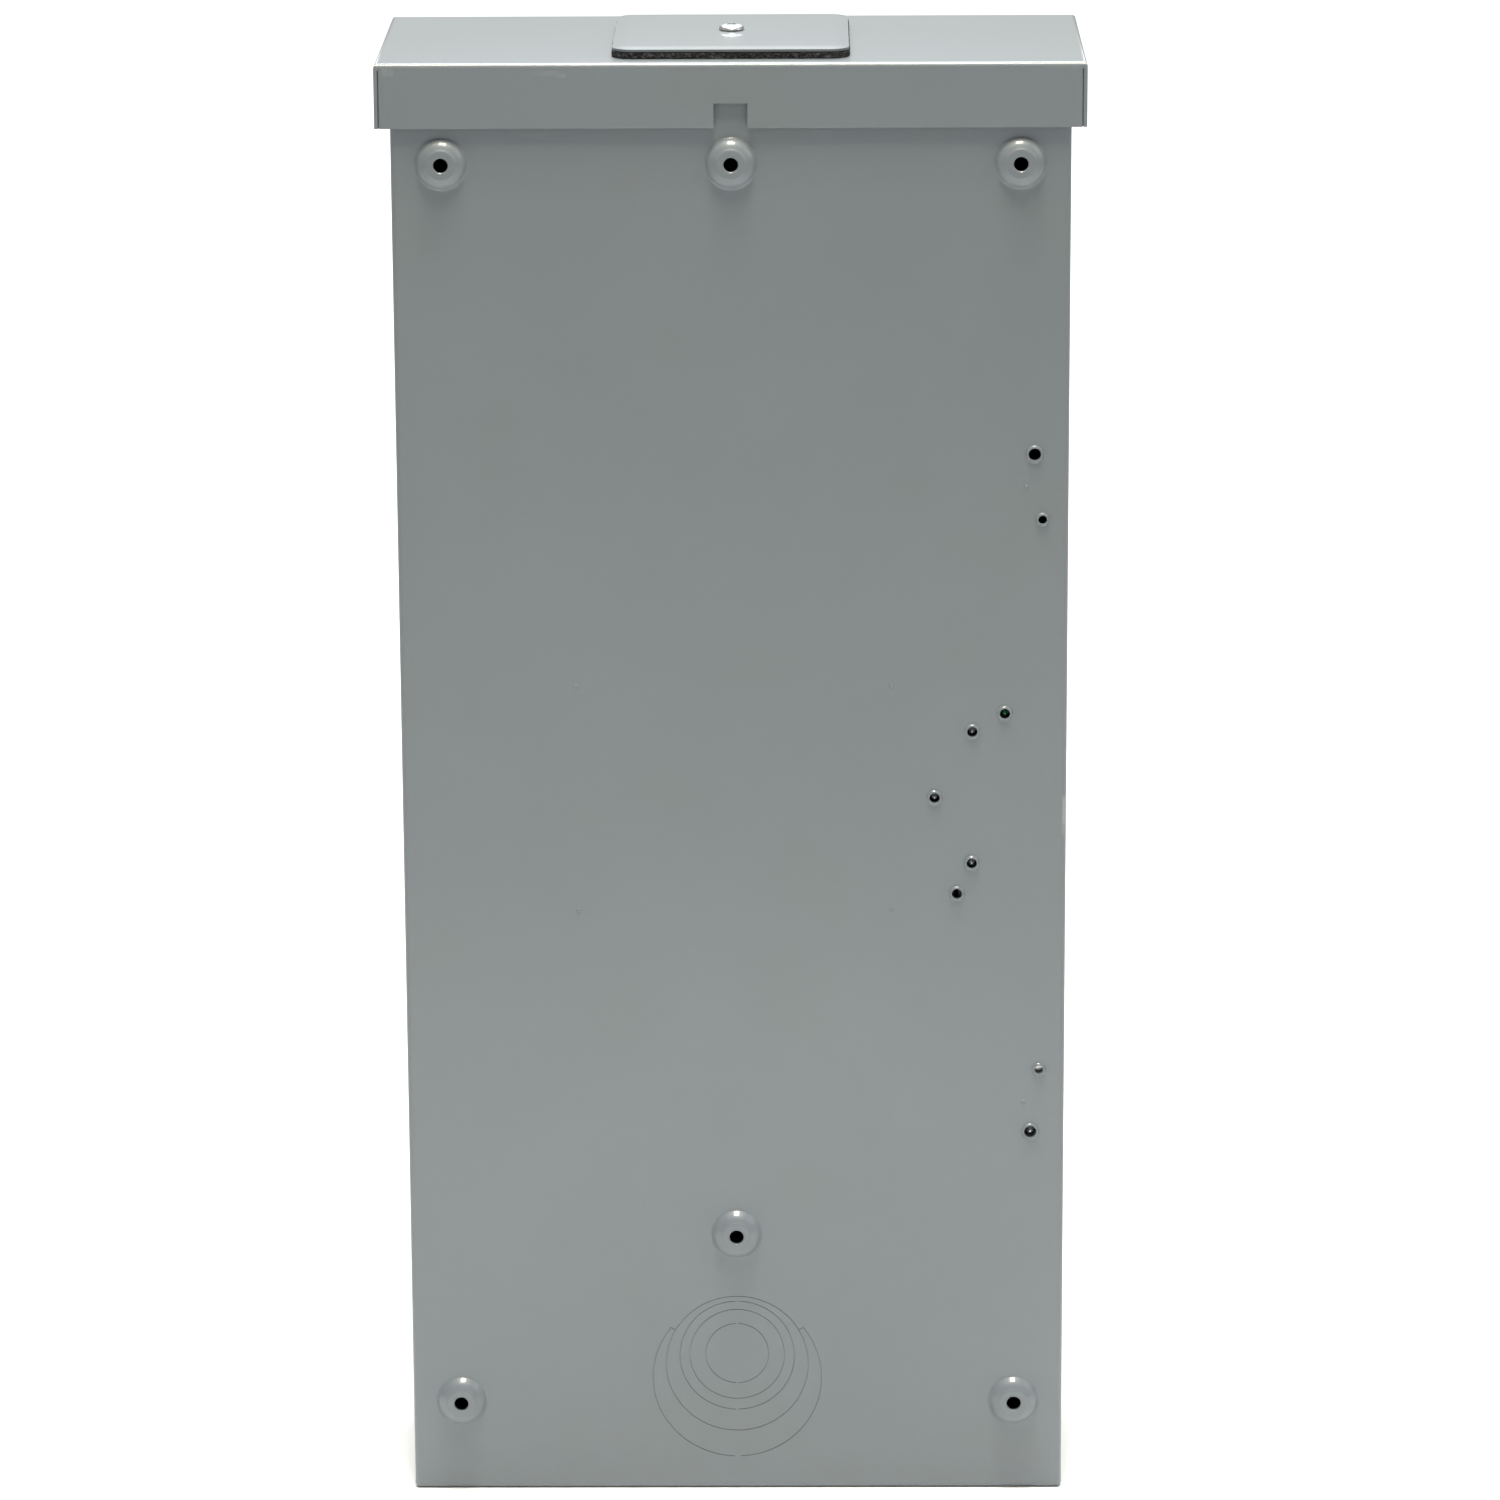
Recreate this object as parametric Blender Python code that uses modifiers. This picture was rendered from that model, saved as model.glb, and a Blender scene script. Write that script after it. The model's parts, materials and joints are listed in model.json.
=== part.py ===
"""Outdoor breaker panel box: a folded steel enclosure that hangs on a wall.

A rain hood with a closing plate over its hub opening covers the top. A lift-up
door hangs from hinge ears on the dead front. Inside are the mounting pan with
its bus bars, a main breaker, four branch breakers, a neutral bar and a ground bar.

Axes: the door faces -Y, the wall is on the +Y side and +Z is up. The origin is
the middle of the object's footprint. A depth is counted from the outer face of
the back panel, positive towards the door. All sizes are in metres.
"""

import math

import bmesh
import bpy
from mathutils import Matrix, Vector

# ---------------------------------------------------------------- driving sizes

FIT = 0.0003                  # gap between pieces that touch
OVERSHOOT = 0.002             # how far a cutter runs past the face it cuts
WELD = 0.00001                # corners closer than this become one

BODY_WIDTH = 0.2256
BODY_DEPTH = 0.0840           # back panel's outer face to the front flange
HOOD_EDGE_HEIGHT = 0.4802     # floor to the lower edge of the hood
BOX_SHEET = 0.0015
BOX_BEND = 0.0018
FRONT_FLANGE = 0.0160

BOSS_HEIGHT = 0.0035          # stand-off of the mounting bosses from the panel
BOSS_RADIUS = 0.0093
BOSS_FACE_RADIUS = 0.0052
BOSS_HOLE_RADIUS = 0.0024
BOSS_SIDE_INSET = 0.0168
BOSS_TOP_DROP = 0.0122        # below the hood's lower edge
BOSS_BOTTOM_HEIGHT = 0.0325
BOSS_CENTRE_HEIGHT = 0.0936

COLLAR_HEIGHT = 0.0008        # extruded screw holes in the back panel
COLLAR_WALL = 0.0010
LARGE_PILOT_RADIUS = 0.00205
MIDDLE_PILOT_RADIUS = 0.0017
SMALL_PILOT_RADIUS = 0.0014
PILOT_FIT = 0.00035           # between a screw's core and its pilot hole

HOOD_SHEET = 0.0012
HOOD_FLANGE = 0.0217
HOOD_OVERHANG = 0.00495       # beyond each side of the box
HOOD_REAR_GAP = 0.0010
HOOD_FRONT_GAP = 0.0014
HOOD_SEAT_GAP = 0.0004
HOOD_BEND = 0.0016
HOOD_NOTCH_WIDTH = 0.0112
HOOD_NOTCH_HEIGHT = 0.0082

HUB_DEPTH = 0.0445            # centre of the hub opening
HUB_RADIUS = 0.0310
HUB_PLATE_WIDTH = 0.0784
HUB_PLATE_LENGTH = 0.0766
HUB_PLATE_SHEET = 0.0008
HUB_PLATE_RISE = 0.0006
HUB_PLATE_SLOPE = 0.0050
HUB_PLATE_CORNER = 0.0045
GASKET_THICKNESS = 0.0017
GASKET_MARGIN = 0.0006        # foam that shows past the plate
GASKET_LIP = 0.0020           # foam kept back from the hub opening
CLAMP_BAR_LENGTH = 0.0840
CLAMP_BAR_WIDTH = 0.0160
CLAMP_BAR_SHEET = 0.0015

COVER_SHEET = 0.0012
COVER_INSET = 0.0045          # dead front, in from the box's sides
COVER_FOOT = 0.0040
COVER_HEAD_GAP = 0.0033
DOOR_SHEET = 0.0012
DOOR_RISE = 0.0130            # door's outer face in front of the dead front
DOOR_INSET = 0.0058
DOOR_FOOT = 0.0060
DOOR_HEAD_GAP = 0.0012
DOOR_REAR_GAP = 0.0008
DOOR_BEND = 0.0015
DOOR_HEAD_RELIEF = 0.0020     # shorter returns beside the hinge
HINGE_DROP = 0.0066           # hinge axis below the hood's edge
HINGE_SETBACK = 0.0033        # hinge axis behind the door's inner face
HINGE_PIN_RADIUS = 0.00125
HINGE_PIN_HEAD_RADIUS = 0.0023
HINGE_PIN_HEAD = 0.0008
EAR_GAP = 0.0006
EAR_EYE_RADIUS = 0.0029
EAR_LENGTH = 0.0090
CORNER_NOTCH_RISE = 0.0030    # above the hinge axis

POCKET_WIDTH = 0.0440         # padlock pocket in the door
POCKET_BOTTOM = 0.0200
POCKET_HEIGHT = 0.0380
POCKET_DEPTH = 0.0060
POCKET_DRAFT = 0.0015
HASP_SHEET = 0.0020
HASP_HOLE_WALL = 0.0020       # metal in front of the padlock hole
HASP_REACH = 0.0065           # tab in front of the door
HASP_HEIGHT = 0.0180
HASP_BASE_WIDTH = 0.0240
HASP_BASE_MARGIN = 0.0060
HASP_HOLE_RADIUS = 0.0040
HASP_SLOT_GAP = 0.0010
HASP_SLOT_END_GAP = 0.0020    # room for the door's swing
HASP_CORNER = 0.0030

ROWS = 4
FILLED_ROWS = 2
BREAKER_PITCH = 0.0254
BREAKER_GAP = 0.0010
BREAKER_LENGTH = 0.0746
BREAKER_FRONT_GAP = 0.0015    # case behind the front flange
BREAKER_INNER = 0.0034        # inner end from the centre line
BREAKER_STEP_LENGTH = 0.0150  # lowered wire end
BREAKER_STEP_DEPTH = 0.0200
BREAKER_EDGE = 0.0008
TERMINAL_SCREW_RADIUS = 0.0030
TERMINAL_SCREW_DEPTH = 0.0080
NOSE_START = 0.0160
NOSE_LENGTH = 0.0340
NOSE_SIDE_GAP = 0.0005
NOSE_PROUD = 0.0011
WINDOW_GAP = 0.0005
BRANCH_PIVOT_BACK = 0.0095    # pivot behind the dead front's face
BRANCH_HUB_RADIUS = 0.0060
BRANCH_TIP = 0.0185           # lever's tip from its pivot
BRANCH_LEVER_WIDTH = 0.0120
BRANCH_LEVER_ROOT = 0.0070
BRANCH_LEVER_END = 0.0048
BRANCH_SWING = 40.0           # degrees, on to off
LEVER_SIDE_GAP = 0.0006
LEVER_POCKET_GAP = 0.0006

INTERIOR_HEIGHT = 0.2501      # middle of the branch rows
MAIN_GAP = 0.0080
MAIN_WIDTH = 0.0760
MAIN_LENGTH = 0.0920
MAIN_COVER_DEPTH = 0.0262
MAIN_NOSE_WIDTH = 0.0400
MAIN_NOSE_HEIGHT = 0.0440
MAIN_PIVOT_BACK = 0.0115
MAIN_HUB_RADIUS = 0.0080
MAIN_TIP = 0.0210
MAIN_LEVER_WIDTH = 0.0240
MAIN_LEVER_ROOT = 0.0095
MAIN_LEVER_END = 0.0060
MAIN_SWING = 46.0             # degrees, on to off
LUG_WIDTH = 0.0160
LUG_LENGTH = 0.0220
LUG_DEPTH = 0.0200
LUG_SPREAD = 0.0190           # lug centres from the centre line
LUG_GAP = 0.0010
LUG_RECESS = 0.0140           # lug's rear face in front of the case's back
LUG_WALL = 0.0020             # metal behind the wire bore
WIRE_BORE_RADIUS = 0.0060
LUG_SCREW_RADIUS = 0.0035

PAN_SHEET = 0.0015
PAN_STAND_OFF = 0.0125        # pan's rear face from the panel's outer face
PAN_CLEARANCE = 0.0160        # pan's face behind the breaker cases
PAN_HALF_WIDTH = 0.0755
PAN_MARGIN = 0.0080
RAIL_GAP = 0.0005
FOOT_SPREAD = 0.0533
FOOT_RISE = 0.03945           # feet above and below the middle of the rows
FOOT_WIDTH = 0.0120
FOOT_LENGTH = 0.0160
BUS_BASE_WIDTH = 0.0800
BUS_BASE_MARGIN = 0.0010
BUS_BASE_GAP = 0.0060         # base's face behind the breaker cases
BUS_THICKNESS = 0.0030
BUS_WIDTH = 0.0120
BUS_OFFSET = 0.0180
BUS_OVERRUN = 0.0070          # bar ends that reach under the main breaker
STAB_OFFSET = 0.00725
STAB_SHEET = 0.0015
STAB_WIDTH = 0.0100
STAB_REACH = 0.0100           # blade inside the breaker's jaw slot
STAB_SLOT_GAP = 0.0015
FINGER_OVERRUN = 0.0010

NEUTRAL_SCREW_OFFSET = 0.0807 # from the centre line
NEUTRAL_SCREW_RISE = 0.02315
NEUTRAL_BASE_INNER = 0.0763
NEUTRAL_BASE_OUTER = 0.1000
NEUTRAL_BASE_LENGTH = 0.1080
NEUTRAL_BASE_DEPTH = 0.0105
NEUTRAL_BAR_INNER = 0.0870
NEUTRAL_BAR_WIDTH = 0.0120
NEUTRAL_BAR_DEPTH = 0.0100
NEUTRAL_BAR_LENGTH = 0.1440
NEUTRAL_LUG_LENGTH = 0.0200
NEUTRAL_LUG_DEPTH = 0.0165
NEUTRAL_LUG_END = 0.0040
BOND_OFFSET = 0.0917
BOND_RISE = 0.0295
SPARE_OFFSET = 0.0757
SPARE_DROP = 0.0339
PAN_SCREW_OFFSET = 0.0680

GROUND_SCREW_INSET = 0.0116   # in from the box's left side
GROUND_PILOT_INSET = 0.0088
GROUND_SCREW_DROP = 0.1192    # below the middle of the rows
GROUND_PILOT_DROP = 0.0968
GROUND_BAR_WIDTH = 0.0090
GROUND_BAR_DEPTH = 0.0100
GROUND_BAR_LENGTH = 0.0520
GROUND_BAR_END = 0.0080
GROUND_BAR_LIFT = 0.0010

SCREW_HEAD_RADIUS = 0.0037
SCREW_HEAD_HEIGHT = 0.0020
HEAD_CROWN = 0.72             # flat crown's share of the head's radius
HEAD_SHOULDER = 0.45          # shoulder's share of the head's height
SCREW_TIP = 0.40              # point's share of the core's radius
HUB_SCREW_HEAD_RADIUS = 0.0043
HUB_SCREW_HEAD_HEIGHT = 0.0017
HUB_SCREW_RADIUS = 0.0021
HUB_SCREW_LENGTH = 0.0130
CLEARANCE_HOLE = 0.00215
COVER_SCREW_RADIUS = 0.0018
COVER_SCREW_LENGTH = 0.0060
COVER_SCREW_INSET = 0.0138
COVER_SCREW_LOW = 0.0340
COVER_SCREW_HIGH_DROP = 0.0400

ROUND_STEPS = 24
HOLE_STEPS = 16
SMALL_STEPS = 12
HUB_STEPS = 36
FOLD_STEPS = 2                # facets of a folded edge
CORNER_STEPS = 3              # facets of a rounded corner
SHARP_EDGE = 40.0             # degrees between faces that stay crisp

# ------------------------------------------------------- sizes that follow them

HALF_WIDTH = BODY_WIDTH / 2
BACK_INNER = BOX_SHEET
BOSS_SLOPE = (BOSS_RADIUS - BOSS_FACE_RADIUS) / BOSS_HEIGHT
COVER_BACK = BODY_DEPTH + FIT
COVER_FRONT = COVER_BACK + COVER_SHEET
DOOR_FRONT = COVER_FRONT + DOOR_RISE
DOOR_INNER = DOOR_FRONT - DOOR_SHEET
DOOR_REAR = COVER_FRONT + DOOR_REAR_GAP
HOOD_FRONT = DOOR_FRONT + HOOD_FRONT_GAP + HOOD_SHEET
HOOD_REAR = -HOOD_REAR_GAP - HOOD_SHEET
HASP_FRONT = DOOR_FRONT + HASP_REACH
BACK_Y = (HASP_FRONT - BOSS_HEIGHT) / 2

HOOD_TOP = HOOD_EDGE_HEIGHT + HOOD_FLANGE
HOOD_UNDERSIDE = HOOD_TOP - HOOD_SHEET
BOX_TOP = HOOD_UNDERSIDE - HOOD_SEAT_GAP
HOOD_HALF_WIDTH = HALF_WIDTH + HOOD_OVERHANG
COVER_HALF_WIDTH = HALF_WIDTH - COVER_INSET
COVER_TOP = BOX_TOP - COVER_HEAD_GAP
DOOR_HALF_WIDTH = HALF_WIDTH - DOOR_INSET
DOOR_TOP = HOOD_EDGE_HEIGHT - DOOR_HEAD_GAP
HINGE_DEPTH = DOOR_INNER - HINGE_SETBACK
HINGE_HEIGHT = HOOD_EDGE_HEIGHT - HINGE_DROP
EAR_OUTER = DOOR_HALF_WIDTH - DOOR_SHEET - EAR_GAP
POCKET_FLOOR = DOOR_FRONT - POCKET_DEPTH
POCKET_MIDDLE = POCKET_BOTTOM + POCKET_HEIGHT / 2

PAN_FRONT = PAN_STAND_OFF + PAN_SHEET
CASE_FRONT = BODY_DEPTH - BREAKER_FRONT_GAP
CASE_BACK = PAN_FRONT + PAN_CLEARANCE
NOSE_FRONT = COVER_FRONT + NOSE_PROUD
BANK_HALF = BREAKER_PITCH * ROWS / 2
BANK_TOP = INTERIOR_HEIGHT + BANK_HALF
BANK_BOTTOM = INTERIOR_HEIGHT - BANK_HALF
MAIN_BOTTOM = BANK_TOP + MAIN_GAP
MAIN_TOP = MAIN_BOTTOM + MAIN_LENGTH
MAIN_MIDDLE = MAIN_BOTTOM + MAIN_LENGTH / 2
MAIN_SPLIT_DEPTH = CASE_FRONT - MAIN_COVER_DEPTH - FIT
MAIN_PIVOT_DEPTH = COVER_FRONT - MAIN_PIVOT_BACK
BRANCH_PIVOT_DEPTH = COVER_FRONT - BRANCH_PIVOT_BACK
BRANCH_PIVOT_OFFSET = NOSE_START + NOSE_LENGTH / 2
BUS_BASE_FRONT = CASE_BACK - BUS_BASE_GAP
BUS_BACK = BUS_BASE_FRONT + FIT
BUS_FRONT = BUS_BACK + BUS_THICKNESS
STAB_FRONT = CASE_BACK + STAB_REACH
NEUTRAL_BASE_FRONT = BACK_INNER + FIT + NEUTRAL_BASE_DEPTH
NEUTRAL_BAR_BACK = NEUTRAL_BASE_FRONT + FIT
NEUTRAL_BAR_FRONT = NEUTRAL_BAR_BACK + NEUTRAL_BAR_DEPTH
NEUTRAL_BAR_TOP = INTERIOR_HEIGHT + NEUTRAL_BAR_LENGTH / 2
BOND_HEIGHT = INTERIOR_HEIGHT + BOND_RISE
GROUND_SCREW_X = GROUND_SCREW_INSET - HALF_WIDTH
GROUND_SCREW_HEIGHT = INTERIOR_HEIGHT - GROUND_SCREW_DROP
GASKET_TOP = HOOD_TOP + FIT + GASKET_THICKNESS
HUB_PLATE_BOTTOM = GASKET_TOP + FIT
HUB_PLATE_TOP = HUB_PLATE_BOTTOM + HUB_PLATE_SHEET + HUB_PLATE_RISE


FORWARD = Vector((0, -1, 0))
UP = Vector((0, 0, 1))
ACROSS = Vector((1, 0, 0))
SIDES = {"left": -1, "right": 1}


def world(x, depth, z):
    """The point at a depth in front of the back panel's outer face."""
    return Vector((x, BACK_Y - depth, z))


def around(middle, size):
    return (middle - size / 2, middle + size / 2)


# --------------------------------------------------------------- scene and looks

for old in list(bpy.data.objects):
    bpy.data.objects.remove(old, do_unlink=True)

PARTS = bpy.data.collections.new("breaker_panel_box")
CUTTERS = bpy.data.collections.new("cutters")
bpy.context.scene.collection.children.link(PARTS)
bpy.context.scene.collection.children.link(CUTTERS)

ASSEMBLY = bpy.data.objects.new("panel_box_assembly", None)
PARTS.objects.link(ASSEMBLY)


def finish(name, color, roughness, metallic=0.0):
    look = bpy.data.materials.new(name)
    look.use_nodes = True
    shader = look.node_tree.nodes["Principled BSDF"]
    shader.inputs["Base Color"].default_value = (*color, 1.0)
    shader.inputs["Roughness"].default_value = roughness
    shader.inputs["Metallic"].default_value = metallic
    look.diffuse_color = (*color, 1.0)
    return look


GREY_PAINT = finish("grey_paint", (0.25, 0.27, 0.27), 0.35)
ZINC = finish("zinc_plate", (0.72, 0.72, 0.70), 0.30, 1.0)
GALVANISED = finish("galvanised_steel", (0.55, 0.56, 0.57), 0.42, 1.0)
FOAM = finish("black_foam", (0.02, 0.02, 0.02), 0.95)
TINNED = finish("tinned_aluminium", (0.78, 0.78, 0.77), 0.32, 1.0)
ALUMINIUM = finish("aluminium", (0.80, 0.80, 0.80), 0.35, 1.0)
BLACK_MOULDING = finish("black_moulding", (0.025, 0.025, 0.027), 0.45)
GREEN_SCREW = finish("green_screw", (0.05, 0.30, 0.10), 0.40)


# ------------------------------------------------------------- modelling helpers


def add_box(mesh, x, depth, z):
    """A box from three spans: across, in depth and in height."""
    low = world(x[0], depth[1], z[0])
    high = world(x[1], depth[0], z[1])
    size = high - low
    place = Matrix.Translation((low + high) / 2) @ Matrix.Diagonal((*size, 1.0))
    return bmesh.ops.create_cube(mesh, size=1.0, matrix=place)["verts"]


def add_rod(mesh, start, end, radius, steps=HOLE_STEPS, end_radius=None):
    """A capped rod or cone between two points."""
    along = end - start
    turn = along.to_track_quat("Z", "Y").to_matrix().to_4x4()
    place = Matrix.Translation((start + end) / 2) @ turn
    far = radius if end_radius is None else end_radius
    bmesh.ops.create_cone(mesh, cap_ends=True, segments=steps, radius1=radius,
                          radius2=far, depth=along.length, matrix=place)


def facing(mesh, direction):
    """The faces of a mesh that look along one of its axes."""
    return [face for face in mesh.faces if face.normal.dot(direction) > 0.5]


def make_object(name, mesh, origin, look=None):
    """An object whose origin lies at a given point; without a look it is a cutter."""
    data = bpy.data.meshes.new(name)
    mesh.to_mesh(data)
    mesh.free()
    data.transform(Matrix.Translation(-origin))
    item = bpy.data.objects.new(name, data)
    item.location = origin
    if look is None:
        CUTTERS.objects.link(item)
        item.hide_render = True
        item.display_type = "WIRE"
        return item
    PARTS.objects.link(item)
    data.materials.append(look)
    item.parent = ASSEMBLY
    return item


def cutter(name, build):
    """A cutter made of the shapes that build() adds."""
    mesh = bmesh.new()
    build(mesh)
    return make_object(name, mesh, Vector((0, 0, 0)))


def combine(item, tool, operation="DIFFERENCE"):
    step = item.modifiers.new(tool.name, "BOOLEAN")
    step.object = tool
    step.operation = operation
    step.solver = "EXACT"


def soften(item, width):
    """Chamfer every sharp edge."""
    edge = item.modifiers.new("edges", "BEVEL")
    edge.width = width
    edge.segments = 1
    edge.limit_method = "ANGLE"


def thicken(item, sheet):
    """Give an open skin the thickness of its sheet, inwards."""
    wall = item.modifiers.new("sheet", "SOLIDIFY")
    wall.thickness = sheet
    wall.offset = -1.0
    wall.use_even_offset = True


def smooth(item):
    item.data.shade_smooth()
    item.data.set_sharp_from_angle(angle=math.radians(SHARP_EDGE))


def block(name, x, depth, z, look):
    mesh = bmesh.new()
    add_box(mesh, x, depth, z)
    origin = world(sum(x) / 2, sum(depth) / 2, sum(z) / 2)
    return make_object(name, mesh, origin, look)


def turned(name, profile, origin, direction, look, steps=SMALL_STEPS):
    """A turned piece: (radius, distance) pairs from the front end to the back end.

    The piece's axis starts at its origin and its distances run against direction.
    """
    mesh = bmesh.new()
    corners = [mesh.verts.new((radius, 0.0, -distance)) for radius, distance in profile]
    for first, second in zip(corners, corners[1:]):
        mesh.edges.new((first, second))
    data = bpy.data.meshes.new(name)
    mesh.to_mesh(data)
    mesh.free()
    item = bpy.data.objects.new(name, data)
    item.location = origin
    item.rotation_euler = direction.to_track_quat("Z", "Y").to_euler()
    PARTS.objects.link(item)
    data.materials.append(look)
    item.parent = ASSEMBLY
    spin = item.modifiers.new("turn", "SCREW")
    spin.steps = steps
    spin.render_steps = steps
    spin.use_merge_vertices = True
    spin.merge_threshold = WELD
    spin.use_smooth_shade = True
    return item


def screw(name, seat, direction, radius, length, look, head_radius=SCREW_HEAD_RADIUS,
          head_height=SCREW_HEAD_HEIGHT):
    """A screw whose head stands on its seat, pointing along direction."""
    shoulder = head_height * HEAD_SHOULDER
    tip = head_height + length
    profile = [(0.0, 0.0), (head_radius * HEAD_CROWN, 0.0), (head_radius, shoulder),
               (head_radius, head_height), (radius, head_height),
               (radius, tip - radius), (radius * SCREW_TIP, tip), (0.0, tip)]
    top = seat + direction * (head_height + FIT)
    return turned(name, profile, top, direction, look)


# -------------------------------------------------------------------- enclosure


def boss_centres():
    """Across and height of the six mounting bosses."""
    side = HALF_WIDTH - BOSS_SIDE_INSET
    top = HOOD_EDGE_HEIGHT - BOSS_TOP_DROP
    return [(-side, top), (0.0, top), (side, top), (0.0, BOSS_CENTRE_HEIGHT),
            (-side, BOSS_BOTTOM_HEIGHT), (side, BOSS_BOTTOM_HEIGHT)]


def pilot_holes():
    """Across, height and radius of the extruded screw holes, all left of the centre."""
    holes = []
    for side in (-1, 1):
        holes.append((GROUND_SCREW_X, INTERIOR_HEIGHT + side * GROUND_SCREW_DROP,
                      LARGE_PILOT_RADIUS))
        holes.append((GROUND_PILOT_INSET - HALF_WIDTH,
                      INTERIOR_HEIGHT + side * GROUND_PILOT_DROP, SMALL_PILOT_RADIUS))
        holes.append((-NEUTRAL_SCREW_OFFSET, INTERIOR_HEIGHT + side * NEUTRAL_SCREW_RISE,
                      MIDDLE_PILOT_RADIUS))
    holes.append((-PAN_SCREW_OFFSET, INTERIOR_HEIGHT, MIDDLE_PILOT_RADIUS))
    holes.append((-BOND_OFFSET, BOND_HEIGHT, MIDDLE_PILOT_RADIUS))
    holes.append((-SPARE_OFFSET, INTERIOR_HEIGHT - SPARE_DROP, MIDDLE_PILOT_RADIUS))
    return holes


def boss_radius(depth):
    """Outer radius of a boss at a depth, along its straight flank."""
    return BOSS_RADIUS + depth * BOSS_SLOPE


def make_enclosure():
    mesh = bmesh.new()
    add_box(mesh, (-HALF_WIDTH, HALF_WIDTH), (0, BODY_DEPTH), (0, BOX_TOP))
    top_edges = {edge for edge in mesh.edges
                 if all(corner.co.z > BOX_TOP / 2 for corner in edge.verts)}
    folds = [edge for edge in mesh.edges if edge not in top_edges]
    bmesh.ops.bevel(mesh, geom=folds, offset=BOX_BEND, segments=FOLD_STEPS, profile=0.5,
                    affect="EDGES")
    box = make_object("enclosure_box", mesh, world(0, 0, 0), GREY_PAINT)

    flank_offset = BOX_SHEET * math.hypot(1.0, BOSS_SLOPE)
    root = BOX_SHEET / 2

    def stand_offs(mesh):
        for x, z in boss_centres():
            add_rod(mesh, world(x, root, z), world(x, -BOSS_HEIGHT, z),
                    boss_radius(root), ROUND_STEPS, BOSS_FACE_RADIUS)
        for x, z, radius in pilot_holes():
            add_rod(mesh, world(x, root, z), world(x, -COLLAR_HEIGHT, z),
                    radius + COLLAR_WALL, SMALL_STEPS)

    def hollow(mesh):
        side = HALF_WIDTH - BOX_SHEET
        add_box(mesh, (-side, side), (BACK_INNER, BODY_DEPTH - BOX_SHEET),
                (BOX_SHEET, BOX_TOP + OVERSHOOT))

    def mouth(mesh):
        side = HALF_WIDTH - FRONT_FLANGE
        add_box(mesh, (-side, side), (BODY_DEPTH - BOX_SHEET * 2, BODY_DEPTH + OVERSHOOT),
                (FRONT_FLANGE, BOX_TOP + OVERSHOOT))

    def boss_hollows(mesh):
        deep = BOX_SHEET - BOSS_HEIGHT
        start = BACK_INNER + OVERSHOOT / 2
        for x, z in boss_centres():
            add_rod(mesh, world(x, start, z), world(x, deep, z),
                    boss_radius(start) - flank_offset, ROUND_STEPS,
                    boss_radius(deep) - flank_offset)

    def holes(mesh):
        for x, z in boss_centres():
            add_rod(mesh, world(x, BACK_INNER + OVERSHOOT, z),
                    world(x, -BOSS_HEIGHT - OVERSHOOT, z), BOSS_HOLE_RADIUS)
        for x, z, radius in pilot_holes():
            add_rod(mesh, world(x, BACK_INNER + OVERSHOOT, z),
                    world(x, -COLLAR_HEIGHT - OVERSHOOT, z), radius, SMALL_STEPS)
        for x, z in cover_screw_centres():
            add_rod(mesh, world(x, BODY_DEPTH - BOX_SHEET - OVERSHOOT, z),
                    world(x, BODY_DEPTH + OVERSHOOT, z), COVER_SCREW_RADIUS + FIT,
                    SMALL_STEPS)

    combine(box, cutter("stand_off_shapes", stand_offs), "UNION")
    combine(box, cutter("box_hollow", hollow))
    combine(box, cutter("box_mouth", mouth))
    combine(box, cutter("boss_hollows", boss_hollows))
    combine(box, cutter("panel_holes", holes))


def make_hood():
    mesh = bmesh.new()
    add_box(mesh, (-HOOD_HALF_WIDTH, HOOD_HALF_WIDTH), (HOOD_REAR, HOOD_FRONT),
            (HOOD_EDGE_HEIGHT, HOOD_TOP))
    bmesh.ops.delete(mesh, geom=facing(mesh, -UP), context="FACES_ONLY")
    folds = [edge for edge in mesh.edges if not edge.is_boundary]
    bmesh.ops.bevel(mesh, geom=folds, offset=HOOD_BEND, segments=FOLD_STEPS, profile=0.5,
                    affect="EDGES")
    hood = make_object("hood", mesh, world(0, HUB_DEPTH, HOOD_TOP), GREY_PAINT)
    thicken(hood, HOOD_SHEET)

    def openings(mesh):
        add_rod(mesh, world(0, HUB_DEPTH, HOOD_UNDERSIDE - OVERSHOOT),
                world(0, HUB_DEPTH, HOOD_TOP + OVERSHOOT), HUB_RADIUS, HUB_STEPS)
        add_box(mesh, around(0, HOOD_NOTCH_WIDTH),
                (HOOD_REAR - OVERSHOOT, HOOD_REAR + HOOD_SHEET + HOOD_REAR_GAP),
                (HOOD_EDGE_HEIGHT - OVERSHOOT, HOOD_EDGE_HEIGHT + HOOD_NOTCH_HEIGHT))

    combine(hood, cutter("hood_openings", openings))


def rounded_plate(name, half_x, half_y, z, corner, look):
    """A flat plate with rounded corners, centred over the hub opening."""
    mesh = bmesh.new()
    add_box(mesh, (-half_x, half_x), (HUB_DEPTH - half_y, HUB_DEPTH + half_y), z)
    uprights = [edge for edge in mesh.edges
                if abs(edge.verts[0].co.z - edge.verts[1].co.z) > (z[1] - z[0]) / 2]
    bmesh.ops.bevel(mesh, geom=uprights, offset=corner, segments=CORNER_STEPS, profile=0.5,
                    affect="EDGES")
    return make_object(name, mesh, world(0, HUB_DEPTH, z[0]), look)


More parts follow.
